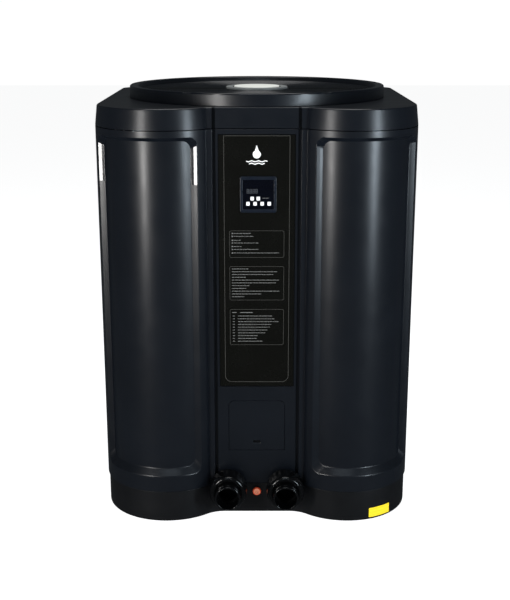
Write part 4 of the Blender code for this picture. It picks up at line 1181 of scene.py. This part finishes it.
def build_hatch():
    """The hatch: a thin plate with a finger notch whose floor slopes up to its foot, and two hinge pins."""
    front, back, edge = HATCH_LOW.y, HATCH_HIGH.y, 0.0005
    outline = hatch_outline()
    shape = bmesh.new()
    behind, rim = skin(shape, [
        facing(shrunk(outline, edge), back), facing(outline, back - edge), facing(outline, front + edge),
        facing(shrunk(outline, edge), front),
    ])
    notch = rounded_rectangle(-0.0090, 0.0090, 0.1740, 0.1840, 0.0015, steps=3)
    scoop = [(x * 0.94, 0.1800 + (z - 0.1800) * 0.86) for x, z in notch]
    slot = [(x * 0.92, 0.1805 + (z - 0.1790) * 0.52) for x, z in notch]
    sloped = [Vector((x, front + 0.0004 + 0.0012 * (z - 0.174) / 0.010, z)) for x, z in scoop]
    mouth, floor = skin(shape, [
        facing(notch, front), sloped, facing(slot, front + 0.0017), facing(slot, front + 0.0024),
    ])
    cap(shape, floor)
    # The slot deep in the notch gets the dark glossy union finish: painted shade inside the notch.
    for face in shape.faces:
        middle = face.calc_center_median()
        face.material_index = int(front + 0.0016 < middle.y < back - 0.0002 and abs(middle.x) < 0.0085)
    fill_between(shape, rim, mouth)
    cap(shape, behind)
    pin_y = (front + back) / 2
    for side in (-1, 1):
        place = Matrix.Translation((side * 0.0650, pin_y, HINGE_Z)) @ Matrix.Rotation(math.pi / 2, 4, "Y")
        bmesh.ops.create_cone(
            shape, cap_ends=True, segments=20, radius1=0.0012, radius2=0.0012, depth=0.0040, matrix=place,
        )
    tidy(shape)
    add_piece(
        "wiring_flap", shape, ["casing", "union"], body="wiring_hatch", replaces=["hatch_door"],
    )


def build_label():
    """The label sheet, with an opening for the controller."""
    front, back = LABEL_LOW.y, LABEL_HIGH.y
    outer = rounded_rectangle(LABEL_LOW.x, LABEL_HIGH.x, LABEL_LOW.z, LABEL_HIGH.z, 0.0015, steps=4)
    reach = 0.0365
    hole = rounded_rectangle(
        DISPLAY_X - reach, DISPLAY_X + reach, DISPLAY_Z - reach, DISPLAY_Z + reach, 0.001, steps=3,
    )
    shape = bmesh.new()
    behind, rim = skin(shape, [
        facing(outer, back), facing(outer, front + 0.0003), facing(shrunk(outer, 0.0003), front),
    ])
    far, near = skin(shape, [facing(hole, back), facing(hole, front)])
    fill_between(shape, rim, near)
    fill_between(shape, behind, far)
    add_piece("label_sheet", shape, ["label"], replaces=["label_panel"])


def outline_print(shape, half, bottom, top, top_corner, low_corner, width, y):
    """A printed border line."""
    outer = rounded_rectangle(-half, half, bottom, top, top_corner, low_corner, steps=6)
    inner = rounded_rectangle(
        width - half, half - width, bottom + width, top - width, max(0.0, top_corner - width),
        max(0.0, low_corner - width), steps=6,
    )
    behind = y + INK
    skin_round(shape, [facing(outer, behind), facing(outer, y), facing(inner, y), facing(inner, behind)])


def patch(shape, low_x, high_x, low_z, high_z, y):
    """A printed rectangle."""
    box_into(shape, (low_x, y, low_z), (high_x, y + INK, high_z))


def greeked_row(shape, chance, start, end, z, height, y):
    """A line of blank bars of word lengths."""
    x = start
    while x < end - 0.002:
        word = min(chance.uniform(0.0020, 0.0080), end - x)
        patch(shape, x, x + word, z, z + height, y)
        x += word + 0.0009


def build_print():
    """What is printed on the label: a border, three boxes of blank text lines, and an emblem."""
    ink_y = LABEL_LOW.y - INK
    lines = bmesh.new()
    outline_print(lines, 0.0722, 0.3270, 0.8885, 0.0, 0.015, 0.0011, ink_y)
    for bottom, top in BLOCKS:
        outline_print(lines, 0.0605, bottom, top, 0.004, 0.004, 0.0008, ink_y)
    add_piece("label_borders", lines, ["print"])
    chance = random.Random(11)
    text = bmesh.new()
    left = -0.0555
    for share, z in ((0.40, 0.6730), (0.46, 0.6665), (0.18, 0.6575), (0.55, 0.6515), (0.20, 0.6435),
                     (0.55, 0.6370), (0.97, 0.6290)):
        patch(text, left, left + 0.0032, z - 0.0008, z + 0.0018, ink_y)
        greeked_row(text, chance, left + 0.0045, left + 0.108 * share, z, 0.0012, ink_y)
    for row in range(11):
        share = (0.33, 0.92, 0.85, 0.30, 0.95, 0.90, 0.35, 0.30, 0.97, 0.60, 0.25)[row]
        greeked_row(text, chance, left, left + 0.110 * share, 0.5925 - 0.0064 * row, 0.0013, ink_y)
    patch(text, left, left + 0.010, 0.4915, 0.4930, ink_y)
    patch(text, left + 0.018, left + 0.046, 0.4915, 0.4930, ink_y)
    for row in range(10):
        z = 0.4835 - 0.0066 * row
        patch(text, left + 0.0015, left + 0.0060, z, z + 0.0013, ink_y)
        share = (0.82, 0.88, 0.97, 0.80, 0.78, 0.72, 0.68, 0.52, 0.52, 0.62)[row]
        greeked_row(text, chance, left + 0.013, left + 0.110 * share, z, 0.0013, ink_y)
    add_piece("label_text_lines", text, ["text"])
    add_piece("label_emblem", emblem_shape(ink_y), ["emblem"])


def emblem_shape(y):
    """A water drop over two waves."""
    shape = bmesh.new()
    centre_z, bulb = 0.8480, 0.0088
    drop = []
    for k in range(49):
        angle = math.radians(-240 + 300 * k / 48)
        drop.append((bulb * math.cos(angle), centre_z + bulb * math.sin(angle)))
    drop.append((0.0, centre_z + 2.3 * bulb))
    drop_ring = new_ring(shape, facing(drop, y))
    cap(shape, drop_ring)
    for row, half in ((0, 0.0230), (1, 0.0170)):
        z = 0.8330 - 0.0052 * row
        xs = [-half + 2 * half * k / 48 for k in range(49)]
        wave = [(x, z + 0.0011 * math.sin(x * 420) + 0.0011) for x in xs]
        wave += [(x, z + 0.0011 * math.sin(x * 420) - 0.0011) for x in reversed(xs)]
        cap(shape, new_ring(shape, facing(wave, y)))
    push_faces(shape, (0.0, INK, 0.0))
    return shape


# ---------------------------------------------------------------- controller

def build_controller():
    """The bezel, its acrylic window with a four-digit display, and the small printed legend."""
    front, back = BEZEL_LOW.y, BEZEL_HIGH.y
    half = (BEZEL_HIGH.x - BEZEL_LOW.x) / 2
    window_x = 0.0340
    window_z = 0.0325
    seat_y = LABEL_LOW.y - 0.0003
    body = half - 0.0040

    def around(reach_x, reach_z, radius, y):
        low, high = DISPLAY_X - reach_x, DISPLAY_X + reach_x
        bottom, top = DISPLAY_Z - reach_z, DISPLAY_Z + reach_z
        return facing(rounded_rectangle(low, high, bottom, top, radius, steps=5), y)

    def square(reach, radius, y):
        return around(reach, reach, radius, y)

    loops = [
        square(body, 0.002, back), square(body, 0.002, seat_y), square(half, 0.0040, seat_y),
        square(half, 0.0040, front + 0.0016), square(half - 0.0005, 0.0038, front + 0.0005),
        square(half - 0.0016, 0.0030, front), around(window_x + 0.0008, window_z + 0.0008, 0.0016, front),
        around(window_x, window_z, 0.0012, front + 0.0007),
        around(window_x, window_z, 0.0012, front + 0.0013),
        square(body - 0.0015, 0.0012, front + 0.0013), square(body - 0.0015, 0.0012, back),
    ]
    shape = skin_round(bmesh.new(), loops)
    add_piece("controller_bezel", shape, ["bezel"], replaces=["display_bezel"])
    build_window()
    build_digits()


def build_window():
    """The acrylic window, with a hole for each key."""
    shape = bmesh.new()
    outer = rounded_rectangle(SCREEN_LOW.x, SCREEN_HIGH.x, SCREEN_LOW.z, SCREEN_HIGH.z, 0.001, steps=3)
    holes = []
    for name in KEYS:
        low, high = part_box(name)
        gap = 0.0004
        holes.append(rounded_rectangle(low.x - gap, high.x + gap, low.z - gap, high.z + gap, 0.0014, steps=4))
    front, back = SCREEN_LOW.y, SCREEN_HIGH.y
    rings = [skin(shape, [facing(points, back), facing(points, front)]) for points in (outer, *holes)]
    fill_between(shape, *[far for _, far in rings])
    fill_between(shape, *[near for near, _ in rings])
    add_piece("controller_window", shape, ["screen"], replaces=["display_screen"])


def build_digits():
    """Four seven-segment digits and a blank legend beside the upper keys, just proud of the window."""
    ink_y = SCREEN_LOW.y - INK
    shape = bmesh.new()
    half_w, half_h, bar = 0.0019, 0.0044, 0.00085
    for digit in range(4):
        centre_x = -0.0195 + 0.0063 * digit
        for across, up, standing in SEGMENTS:
            x, z = centre_x + across * half_w, DISPLAY_Z + 0.0072 + up * half_h
            reach = half_h / 2 - 0.0004 if standing else half_w - 0.0004
            wide, tall = (bar / 2, reach) if standing else (reach, bar / 2)
            patch(shape, x - wide, x + wide, z - tall, z + tall, ink_y)
    legend = bmesh.new()
    add_piece("display_digits", shape, ["digit"])
    chance = random.Random(5)
    greeked_row(legend, chance, 0.0125, 0.0270, DISPLAY_Z - 0.0085, 0.0011, ink_y)
    add_piece("display_legend", legend, ["text"])


def build_keys():
    """Six soft square key caps with a slightly dished face."""
    for name in KEYS:
        low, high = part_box(name)
        edge = Vector((0.0008, 0.0, 0.0008))
        shape = softened_box(low + edge, high - edge, 0.0013, 4)
        front = [face for face in shape.faces if face.normal.y < -0.99 and face.calc_area() > 1e-5]
        bmesh.ops.inset_region(shape, faces=front, thickness=0.0008, depth=-0.0002)
        body = name.replace("button_", "key_")
        add_piece(f"{body}_cap", shape, ["button"], body=body, replaces=[name])


# ---------------------------------------------------------------- unions, drain and base fittings

def flat_sided(radius, angle, sides):
    """How far a regular polygon reaches at an angle, when its corners lie on a circle."""
    part = math.pi / sides
    return radius * math.cos(part) / math.cos((angle % (2 * part)) - part)


def facing_circle(x, y, radius_at, count):
    """A circle about a union's axis, whose radius may change with the angle."""
    points = []
    for k in range(count):
        angle = 2 * math.pi * k / count
        radius = radius_at(angle) if callable(radius_at) else radius_at
        points.append(Vector((x + radius * math.cos(angle), y, UNION_Z + radius * math.sin(angle))))
    return points


def ribbed(radius, height):
    """A radius that rises in round ribs."""
    ribs = sizes().nut_ribs
    return lambda angle: radius - height * (0.5 - 0.5 * math.cos(ribs * angle)) ** 0.6


def nut_shape(x):
    """A union nut: a ribbed grip, a polished conical nose and a bore that clears the tail."""
    back, front = NUT_HIGH.y, NUT_LOW.y
    count = sizes().nut_ribs * 8
    plain, bore = NUT_RADIUS - 0.0010, TAIL_RADIUS + 0.0007
    inner = SPIGOT_RADIUS + 0.0006
    shoulder = front + 0.0105
    rows = [
        (back, inner + 0.0010), (back, plain - 0.0022), (back - 0.0006, plain - 0.0008),
        (back - 0.0014, plain),
        (back - 0.0040, plain), (back - 0.0052, ribbed(NUT_RADIUS, 0.0014)),
        (back - 0.0120, ribbed(NUT_RADIUS, 0.0016)), (back - 0.0225, ribbed(NUT_RADIUS, 0.0016)),
        (back - 0.0245, ribbed(NUT_RADIUS - 0.0007, 0.0010)), (front + 0.0145, plain - 0.0004),
        (front + 0.0085, NUT_RADIUS - 0.0016), (front + 0.0050, NUT_RADIUS - 0.0030),
        (front + 0.0028, NUT_RADIUS - 0.0044), (front + 0.0010, NUT_RADIUS - 0.0064),
        (front, NUT_RADIUS - 0.0086), (front, bore + 0.0024), (front + 0.0006, bore + 0.0009),
        (front + 0.0016, bore), (shoulder, bore), (shoulder, inner), (back - 0.0008, inner),
    ]
    return skin_round(bmesh.new(), [facing_circle(x, y, radius, count) for y, radius in rows])


def tail_shape(x):
    """The tail that takes the pool pipe: a rounded lip round a deep socket, and a collar behind."""
    back, front = TAIL_HIGH.y, TAIL_LOW.y
    rows = [
        (back, 0.0220), (back, SPIGOT_RADIUS - 0.0003), (back - 0.0042, SPIGOT_RADIUS - 0.0003),
        (back - 0.0042, TAIL_RADIUS), (front + 0.0030, TAIL_RADIUS), (front + 0.0014, TAIL_RADIUS - 0.0003),
        (front + 0.0004, TAIL_RADIUS - 0.0011), (front, TAIL_RADIUS - 0.0021), (front, BORE_RADIUS + 0.0012),
        (front + 0.0006, BORE_RADIUS + 0.0003), (front + 0.0016, BORE_RADIUS),
        (back - 0.0030, BORE_RADIUS - 0.0004), (back - 0.0030, 0.0220),
    ]
    return skin_round(bmesh.new(), [facing_circle(x, y, radius, 96) for y, radius in rows])


def spigot_shape(x):
    """The fixed spigot, with a thread under the nut."""
    low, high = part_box("union_spigot_right")
    rows = [(high.y, BORE_RADIUS), (high.y, SPIGOT_RADIUS)]
    turns = 11
    for k in range(turns):
        y = high.y - 0.024 - 0.0042 * k
        rows += [(y, SPIGOT_RADIUS - 0.0012), (y - 0.0014, SPIGOT_RADIUS), (y - 0.0024, SPIGOT_RADIUS)]
    rows += [(low.y + 0.0010, SPIGOT_RADIUS - 0.0012), (low.y, SPIGOT_RADIUS - 0.0020), (low.y, BORE_RADIUS)]
    return skin_round(bmesh.new(), [facing_circle(x, y, radius, 72) for y, radius in rows])


def seal_shape(x):
    low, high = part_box("union_seal_right")
    thick = (high.y - low.y) / 2
    middle, centre = (high.y + low.y) / 2, (0.0255 + 0.0320) / 2
    wide = (0.0320 - 0.0255) / 2
    angles = [2 * math.pi * k / 12 for k in range(12)]
    return skin_round(bmesh.new(), [
        facing_circle(x, middle + thick * math.sin(a), centre + wide * math.cos(a), 64) for a in angles
    ])


def build_unions():
    for side, name in ((-1, "left"), (1, "right")):
        x = side * UNION_X
        add_piece(
            f"{name}_nut", nut_shape(x), ["union"], body=f"{name}_union_nut",
            replaces=[f"union_nut_{name}"],
        )
        add_piece(f"{name}_tail", tail_shape(x), ["union"], replaces=[f"union_tail_{name}"])
        add_piece(f"{name}_spigot", spigot_shape(x), ["union"], replaces=[f"union_spigot_{name}"])
        add_piece(f"{name}_seal", seal_shape(x), ["rubber"], replaces=[f"union_seal_{name}"])


def build_drain():
    """The drain plug: a knurled orange head with a paler dished centre, its seal, and a threaded stem."""
    low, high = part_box("drain_plug")
    z, radius = (low.z + high.z) / 2, (high.x - low.x) / 2
    head = CENTRE_FACE_Y + BASE_INSET - 0.0003

    def at(y, reach):
        angles = [2 * math.pi * k / 48 for k in range(48)]
        return [Vector((reach * math.cos(a), y, z + reach * math.sin(a))) for a in angles]

    shape = bmesh.new()
    stem, centre = skin(shape, [
        at(high.y, 0.0068), at(high.y - 0.0010, 0.0080), at(head, 0.0083), at(head, radius - 0.0003),
        at(head - 0.0018, radius - 0.0003), at(head - 0.0019, radius - 0.0012),
        at(low.y + 0.0014, radius - 0.0014), at(low.y + 0.0004, radius - 0.0022),
        at(low.y, radius - 0.0036), at(low.y, 0.0052), at(low.y + 0.0016, 0.0042),
    ])
    cap(shape, stem)
    cap(shape, centre)
    bmesh.ops.recalc_face_normals(shape, faces=shape.faces)
    for face in shape.faces:
        middle = face.calc_center_median()
        reach = math.hypot(middle.x, middle.z - z)
        if middle.y < low.y + 0.0017 and reach < 0.0070:
            face.material_index = 1
        elif head - 0.0019 < middle.y < head + 0.0002 and reach > radius - 0.0016:
            face.material_index = 2
    looks = ["drain", "drain_centre", "rubber"]
    add_piece("drain_screw", shape, looks, body="drain", replaces=["drain_plug"])


def build_feet():
    """Rubber feet with a rounded skirt and a ribbed tread."""
    for name in ("foot_front_left", "foot_front_right", "foot_rear_left", "foot_rear_right"):
        low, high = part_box(name)
        x, y = (low.x + high.x) / 2, (low.y + high.y) / 2
        profile = [
            (0.0, high.z), (0.0, low.z + 0.0012), (0.0080, low.z + 0.0012), (0.0080, low.z),
            (0.0250, low.z), (0.0262, low.z + 0.0006), (0.0268, low.z + 0.0020),
            (0.0298, high.z - 0.0010), (0.0292, high.z),
        ]
        shape = bmesh.new()
        spin_round(shape, upright(profile, x, y), (x, y, 0), (0, 0, 1), 48)
        tidy(shape)
        add_piece(f"{name}_pad", shape, ["rubber"], replaces=[name])


def build_gland():
    """The cable gland: a hexagonal body and a domed cap with grip flats."""
    low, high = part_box("gland_cap")
    x, z = (low.x + high.x) / 2, (low.z + high.z) / 2
    body_low, body_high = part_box("cable_gland")

    def ring(y, radius, sides=0):
        points = []
        for k in range(48):
            angle = 2 * math.pi * k / 48
            reach = flat_sided(radius, angle, sides) if sides else radius
            points.append(Vector((x + reach * math.cos(angle), y, z + reach * math.sin(angle))))
        return points

    wall = CASING_REAR - BASE_INSET
    add_piece("gland_body", skin_round(bmesh.new(), [
        ring(body_low.y, 0.0062), ring(body_low.y, 0.0098), ring(wall + 0.0003, 0.0100),
        ring(wall + 0.0003, 0.0150, 6), ring(wall + 0.0046, 0.0150, 6), ring(wall + 0.0050, 0.0138, 6),
        ring(wall + 0.0050, 0.0100), ring(body_high.y, 0.0100), ring(body_high.y, 0.0062),
    ]), ["motor"], replaces=["cable_gland"])
    add_piece("gland_dome", skin_round(bmesh.new(), [
        ring(low.y, 0.0104), ring(low.y, 0.0128), ring(low.y + 0.0004, 0.0134, 12),
        ring(high.y - 0.0060, 0.0132, 12), ring(high.y - 0.0035, 0.0124),
        ring(high.y - 0.0012, 0.0108), ring(high.y, 0.0088), ring(high.y, 0.0066),
        ring(high.y - 0.0008, 0.0061), ring(low.y + 0.0025, 0.0061), ring(low.y + 0.0025, 0.0104),
    ]), ["motor"], replaces=["gland_cap"])


def screw_into(shape, place, outward, radius=0.0042):
    """A pan-head screw with a hexagonal socket, its seat at place."""
    turn = Vector(outward).to_track_quat("Z", "Y").to_matrix().to_4x4()
    matrix = Matrix.Translation(place) @ turn
    count = 24

    def ring(reach, height, sides=0):
        points = []
        for k in range(count):
            angle = 2 * math.pi * k / count
            size = flat_sided(reach, angle, sides) if sides else reach
            points.append(matrix @ Vector((size * math.cos(angle), size * math.sin(angle), height)))
        return points

    first, last = skin(shape, [
        ring(radius, -0.0005), ring(radius, radius * 0.20), ring(radius * 0.92, radius * 0.36),
        ring(radius * 0.72, radius * 0.50), ring(radius * 0.52, radius * 0.54),
        ring(radius * 0.44, radius * 0.50, 6), ring(radius * 0.42, radius * 0.08, 6),
    ])
    cap(shape, first)
    cap(shape, last)


def build_screws():
    """The screws that hold the guards and the rear posts, seated on their outer faces."""
    guard_x = GUARD_HIGH.x
    levels_z = (GUARD_LOW.z + 0.007, (GUARD_LOW.z + GUARD_HIGH.z) / 2, GUARD_HIGH.z - 0.007)
    shape = bmesh.new()
    for side in (-1, 1):
        for y in (GUARD_LOW.y + 0.007, GUARD_HIGH.y - 0.007):
            for z in levels_z:
                screw_into(shape, (side * guard_x, y, z), (side, 0, 0))
    for x in (REAR_GUARD_LOW.x + 0.007, 0.0, REAR_GUARD_HIGH.x - 0.007):
        for z in levels_z:
            screw_into(shape, (x, REAR_GUARD_HIGH.y, z), (0, 1, 0))
    add_piece("guard_screws", shape, ["screw"])
    shape = bmesh.new()
    for side in (-1, 1):
        for z in (0.130, 0.490, 0.850):
            screw_into(shape, (side * 0.298, CASING_REAR, z), (0, 1, 0), 0.0036)
    add_piece("casing_screws", shape, ["screw"])


def build_terminals():
    """Brass terminal screws in the block behind the hatch."""
    low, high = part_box("terminal_block")
    shape = bmesh.new()
    for k in range(6):
        x = low.x + (high.x - low.x) * (k + 0.5) / 6
        screw_into(shape, (x, low.y, (low.z + high.z) / 2), (0, -1, 0), 0.0045)
    add_piece("terminal_screws", shape, ["brass"])


# ---------------------------------------------------------------- coil

def coil_route(depth, step=math.radians(6)):
    """The coil's line in plan at a depth inside the casing, from the front right round to the front left."""
    x, y, bend = HALF_WIDTH - depth, CASING_REAR - depth, 0.090 - depth
    corner = arc((x - bend, y - bend), bend, math.pi / 2, math.pi, step)
    half = [Vector((x, COIL_LOW.y)), *corner]
    return half + [Vector((-point.x, point.y)) for point in reversed(half)]


def along_route(route, pitch):
    """(point, direction) at even steps along a route."""
    lengths = route_lengths(route)
    count = int(lengths[-1] / pitch)
    places, k = [], 0
    for n in range(count):
        gone = (n + 0.5) * lengths[-1] / count
        while lengths[k + 1] < gone:
            k += 1
        share = (gone - lengths[k]) / (lengths[k + 1] - lengths[k])
        places.append((route[k].lerp(route[k + 1], share), (route[k + 1] - route[k]).normalized()))
    return places


def build_coil():
    """Aluminium fins on copper tubes, with a steel plate at each end."""
    near, far = HALF_WIDTH - COIL_HIGH.x, 0.058
    bottom, top = COIL_LOW.z, COIL_HIGH.z
    middle, half = (near + far) / 2, (far - near) / 2
    fins = bmesh.new()
    for point, ahead in along_route(coil_route(middle), sizes().fin_pitch):
        place = Matrix.Translation((point.x, point.y, (bottom + top) / 2))
        place = place @ Matrix.Rotation(math.atan2(ahead.y, ahead.x), 4, "Z")
        size = Matrix.Diagonal((0.0004, 2 * half - 0.002, top - bottom - 0.004, 1.0))
        bmesh.ops.create_cube(fins, size=1.0, matrix=place @ size)
    add_piece("coil_fins", fins, ["fins"], replaces=["evaporator_coil"])
    tubes = bmesh.new()
    route = coil_route(middle)
    rows = 30
    for row in range(rows):
        z = bottom + (top - bottom) * (row + 0.5) / rows
        loops = []
        for k, point in enumerate(route):
            ahead = (route[min(k + 1, len(route) - 1)] - route[max(k - 1, 0)]).normalized()
            across = Vector((-ahead.y, ahead.x))
            angles = [2 * math.pi * n / 8 for n in range(8)]
            loops.append([
                Vector((*(point + across * 0.0047 * math.cos(a)), z + 0.0047 * math.sin(a))) for a in angles
            ])
        first, last = skin(tubes, loops)
        cap(tubes, first)
        cap(tubes, last)
    add_piece("coil_tubes", tubes, ["copper"])
    ends = bmesh.new()
    for side in (-1, 1):
        middle_x = side * (HALF_WIDTH - middle)
        box_into(ends, (middle_x - half, COIL_LOW.y, bottom), (middle_x + half, COIL_LOW.y + 0.0012, top))
    soften(ends, 0.0003)
    add_piece("coil_end_plates", ends, ["steel"])


def dress_frame():
    """Gives every node that the frame still shows the finish of its slot."""
    for row in frame["record"]["subparts"]:
        node = frame["nodes"][row["node"]]
        node.data.materials.clear()
        node.data.materials.append(finish(row["material_slot"]))


# ---------------------------------------------------------------- stage

def add_light(name, place, target, size, power, colour):
    data = bpy.data.lights.new(name, "AREA")
    data.shape = "RECTANGLE"
    data.size, data.size_y = size
    data.energy = power
    data.color = colour
    lamp = bpy.data.objects.new(name, data)
    bpy.context.scene.collection.objects.link(lamp)
    lamp.location = place
    lamp.rotation_euler = (Vector(target) - Vector(place)).to_track_quat("-Z", "Y").to_euler()
    return lamp


def build_floor():
    """A pale floor that takes a faint shadow."""
    shape = bmesh.new()
    bmesh.ops.create_grid(shape, x_segments=1, y_segments=1, size=14.0)
    mesh = bpy.data.meshes.new("floor")
    shape.to_mesh(mesh)
    shape.free()
    look = bpy.data.materials.new("floor_white")
    look.use_nodes = True
    shader = look.node_tree.nodes["Principled BSDF"]
    colour = (*bpy.context.scene.pump_stage.floor, 1.0)
    shader.inputs["Base Color"].default_value = colour
    shader.inputs["Roughness"].default_value = 0.9
    shader.inputs["Specular IOR Level"].default_value = 0.0
    shader.inputs["Emission Color"].default_value = colour
    shader.inputs["Emission Strength"].default_value = 0.93
    mesh.materials.append(look)
    floor = bpy.data.objects.new("floor", mesh)
    bpy.context.scene.collection.objects.link(floor)
    floor.location.z = -0.0005
    floor.visible_glossy = False


def build_world(ambient):
    """White behind the object, and a dim even surround in what it reflects."""
    world = bpy.data.worlds.new("studio")
    bpy.context.scene.world = world
    world.use_nodes = True
    nodes, links = world.node_tree.nodes, world.node_tree.links
    nodes.clear()
    output = nodes.new("ShaderNodeOutputWorld")
    mix = nodes.new("ShaderNodeMixShader")
    path = nodes.new("ShaderNodeLightPath")
    dim, white = nodes.new("ShaderNodeBackground"), nodes.new("ShaderNodeBackground")
    dim.inputs["Color"].default_value = (0.86, 0.95, 1.0, 1.0)
    dim.inputs["Strength"].default_value = ambient
    white.inputs["Color"].default_value = (1.0, 1.0, 1.0, 1.0)
    white.inputs["Strength"].default_value = 1.02
    links.new(path.outputs["Is Camera Ray"], mix.inputs["Fac"])
    links.new(dim.outputs[0], mix.inputs[1])
    links.new(white.outputs[0], mix.inputs[2])
    links.new(mix.outputs[0], output.inputs["Surface"])


def build_camera():
    """A long lens a little above the object, level from side to side."""
    data = bpy.data.cameras.new("camera")
    data.sensor_width = 36.0
    data.lens = 64.48
    data.shift_x = -0.003
    data.clip_start, data.clip_end = 0.05, 100.0
    camera = bpy.data.objects.new("camera", data)
    bpy.context.scene.collection.objects.link(camera)
    camera.location = (0.0, -2.6035, 1.1572)
    camera.rotation_euler = (math.pi / 2 - 0.2669, 0.0, 0.0)
    bpy.context.scene.camera = camera


def build_stage():
    stage = bpy.context.scene.pump_stage
    bpy.context.scene.view_settings.view_transform = "Standard"
    build_camera()
    build_floor()
    build_world(stage.ambient)
    warm, cool = (1.0, 0.98, 0.96), (0.78, 0.90, 1.0)
    for name, place, width, power, colour in (
        ("left_strip", (-1.40, -2.15), 0.16, stage.left_power, warm),
        ("right_strip", (1.86, -2.15), 0.30, stage.right_power, cool),
    ):
        for part, low, high, share in (("low", 0.33, 0.95, 0.62), ("high", 0.95, 1.75, 0.38)):
            middle = (low + high) / 2
            aim = (place[0] * 0.17, -0.3, middle)
            add_light(f"{name}_{part}", (*place, middle), aim, (width, high - low), power * share, colour)
    add_light("high_front", (0, -2.3, 2.75), (0, -0.3, 0.6), (1.5, 0.22), stage.sill_power, cool)
    add_light("overhead", (0, 0.2, 3.0), (0, 0, 0.5), (1.6, 1.6), stage.top_power, (1.0, 1.0, 1.0))


# ---------------------------------------------------------------- operators

class PieceOperator:
    """What every operator here shares: it runs one builder."""

    bl_options = {"REGISTER", "UNDO"}

    def execute(self, context):
        type(self).builder()
        return {"FINISHED"}


STEPS = (
    ("base", "Base tray", build_base), ("columns", "Front columns", build_columns),
    ("posts", "Rear posts", build_posts), ("guards", "Louvred guards", build_guards),
    ("lid", "Lid", build_lid), ("collar", "Fan collar", build_collar), ("grille", "Fan grille", build_grille),
    ("cap", "Grille cap and badge", build_cap), ("fan", "Impeller", build_fan),
    ("panel", "Centre panel", build_panel), ("hatch", "Wiring hatch", build_hatch),
    ("label", "Label sheet", build_label), ("print", "Label print", build_print),
    ("controller", "Controller", build_controller), ("keys", "Keys", build_keys),
    ("unions", "Water unions", build_unions), ("drain", "Drain plug", build_drain),
    ("feet", "Feet", build_feet),
    ("gland", "Cable gland", build_gland), ("screws", "Screws", build_screws),
    ("terminals", "Terminals", build_terminals), ("coil", "Coil", build_coil),
    ("frame", "Finishes on the frame", dress_frame), ("stage", "Stage", build_stage),
)


def operator_class(name, label, builder):
    made = type(f"PUMP_OT_{name}", (PieceOperator, bpy.types.Operator), {
        "bl_idname": f"pump.{name}", "bl_label": label, "__doc__": builder.__doc__ or label,
        "builder": staticmethod(builder),
    })
    return made


class PUMP_PT_build(bpy.types.Panel):
    """Lists the build steps and their settings."""

    bl_label = "Pool heat pump"
    bl_space_type = "VIEW_3D"
    bl_region_type = "UI"
    bl_category = "Pool heat pump"

    def draw(self, context):
        for name, _, _ in STEPS:
            self.layout.operator(f"pump.{name}")
        for group in (context.scene.pump_sizes, context.scene.pump_colours, context.scene.pump_stage):
            column = self.layout.column()
            for prop in group.bl_rna.properties:
                if prop.identifier not in ("rna_type", "name"):
                    column.prop(group, prop.identifier)


GROUPS = {"pump_sizes": PumpSizes, "pump_colours": PumpColours, "pump_stage": StageSettings}
OPERATORS = [operator_class(*step) for step in STEPS]


def register():
    for made in (*GROUPS.values(), *OPERATORS, PUMP_PT_build):
        bpy.utils.register_class(made)
    for name, group in GROUPS.items():
        setattr(bpy.types.Scene, name, PointerProperty(type=group))


def unregister():
    for name in GROUPS:
        delattr(bpy.types.Scene, name)
    for made in reversed((*GROUPS.values(), *OPERATORS, PUMP_PT_build)):
        bpy.utils.unregister_class(made)


def main():
    register()
    for name, _, _ in STEPS:
        getattr(bpy.ops.pump, name)()


if __name__ == "__main__":
    main()
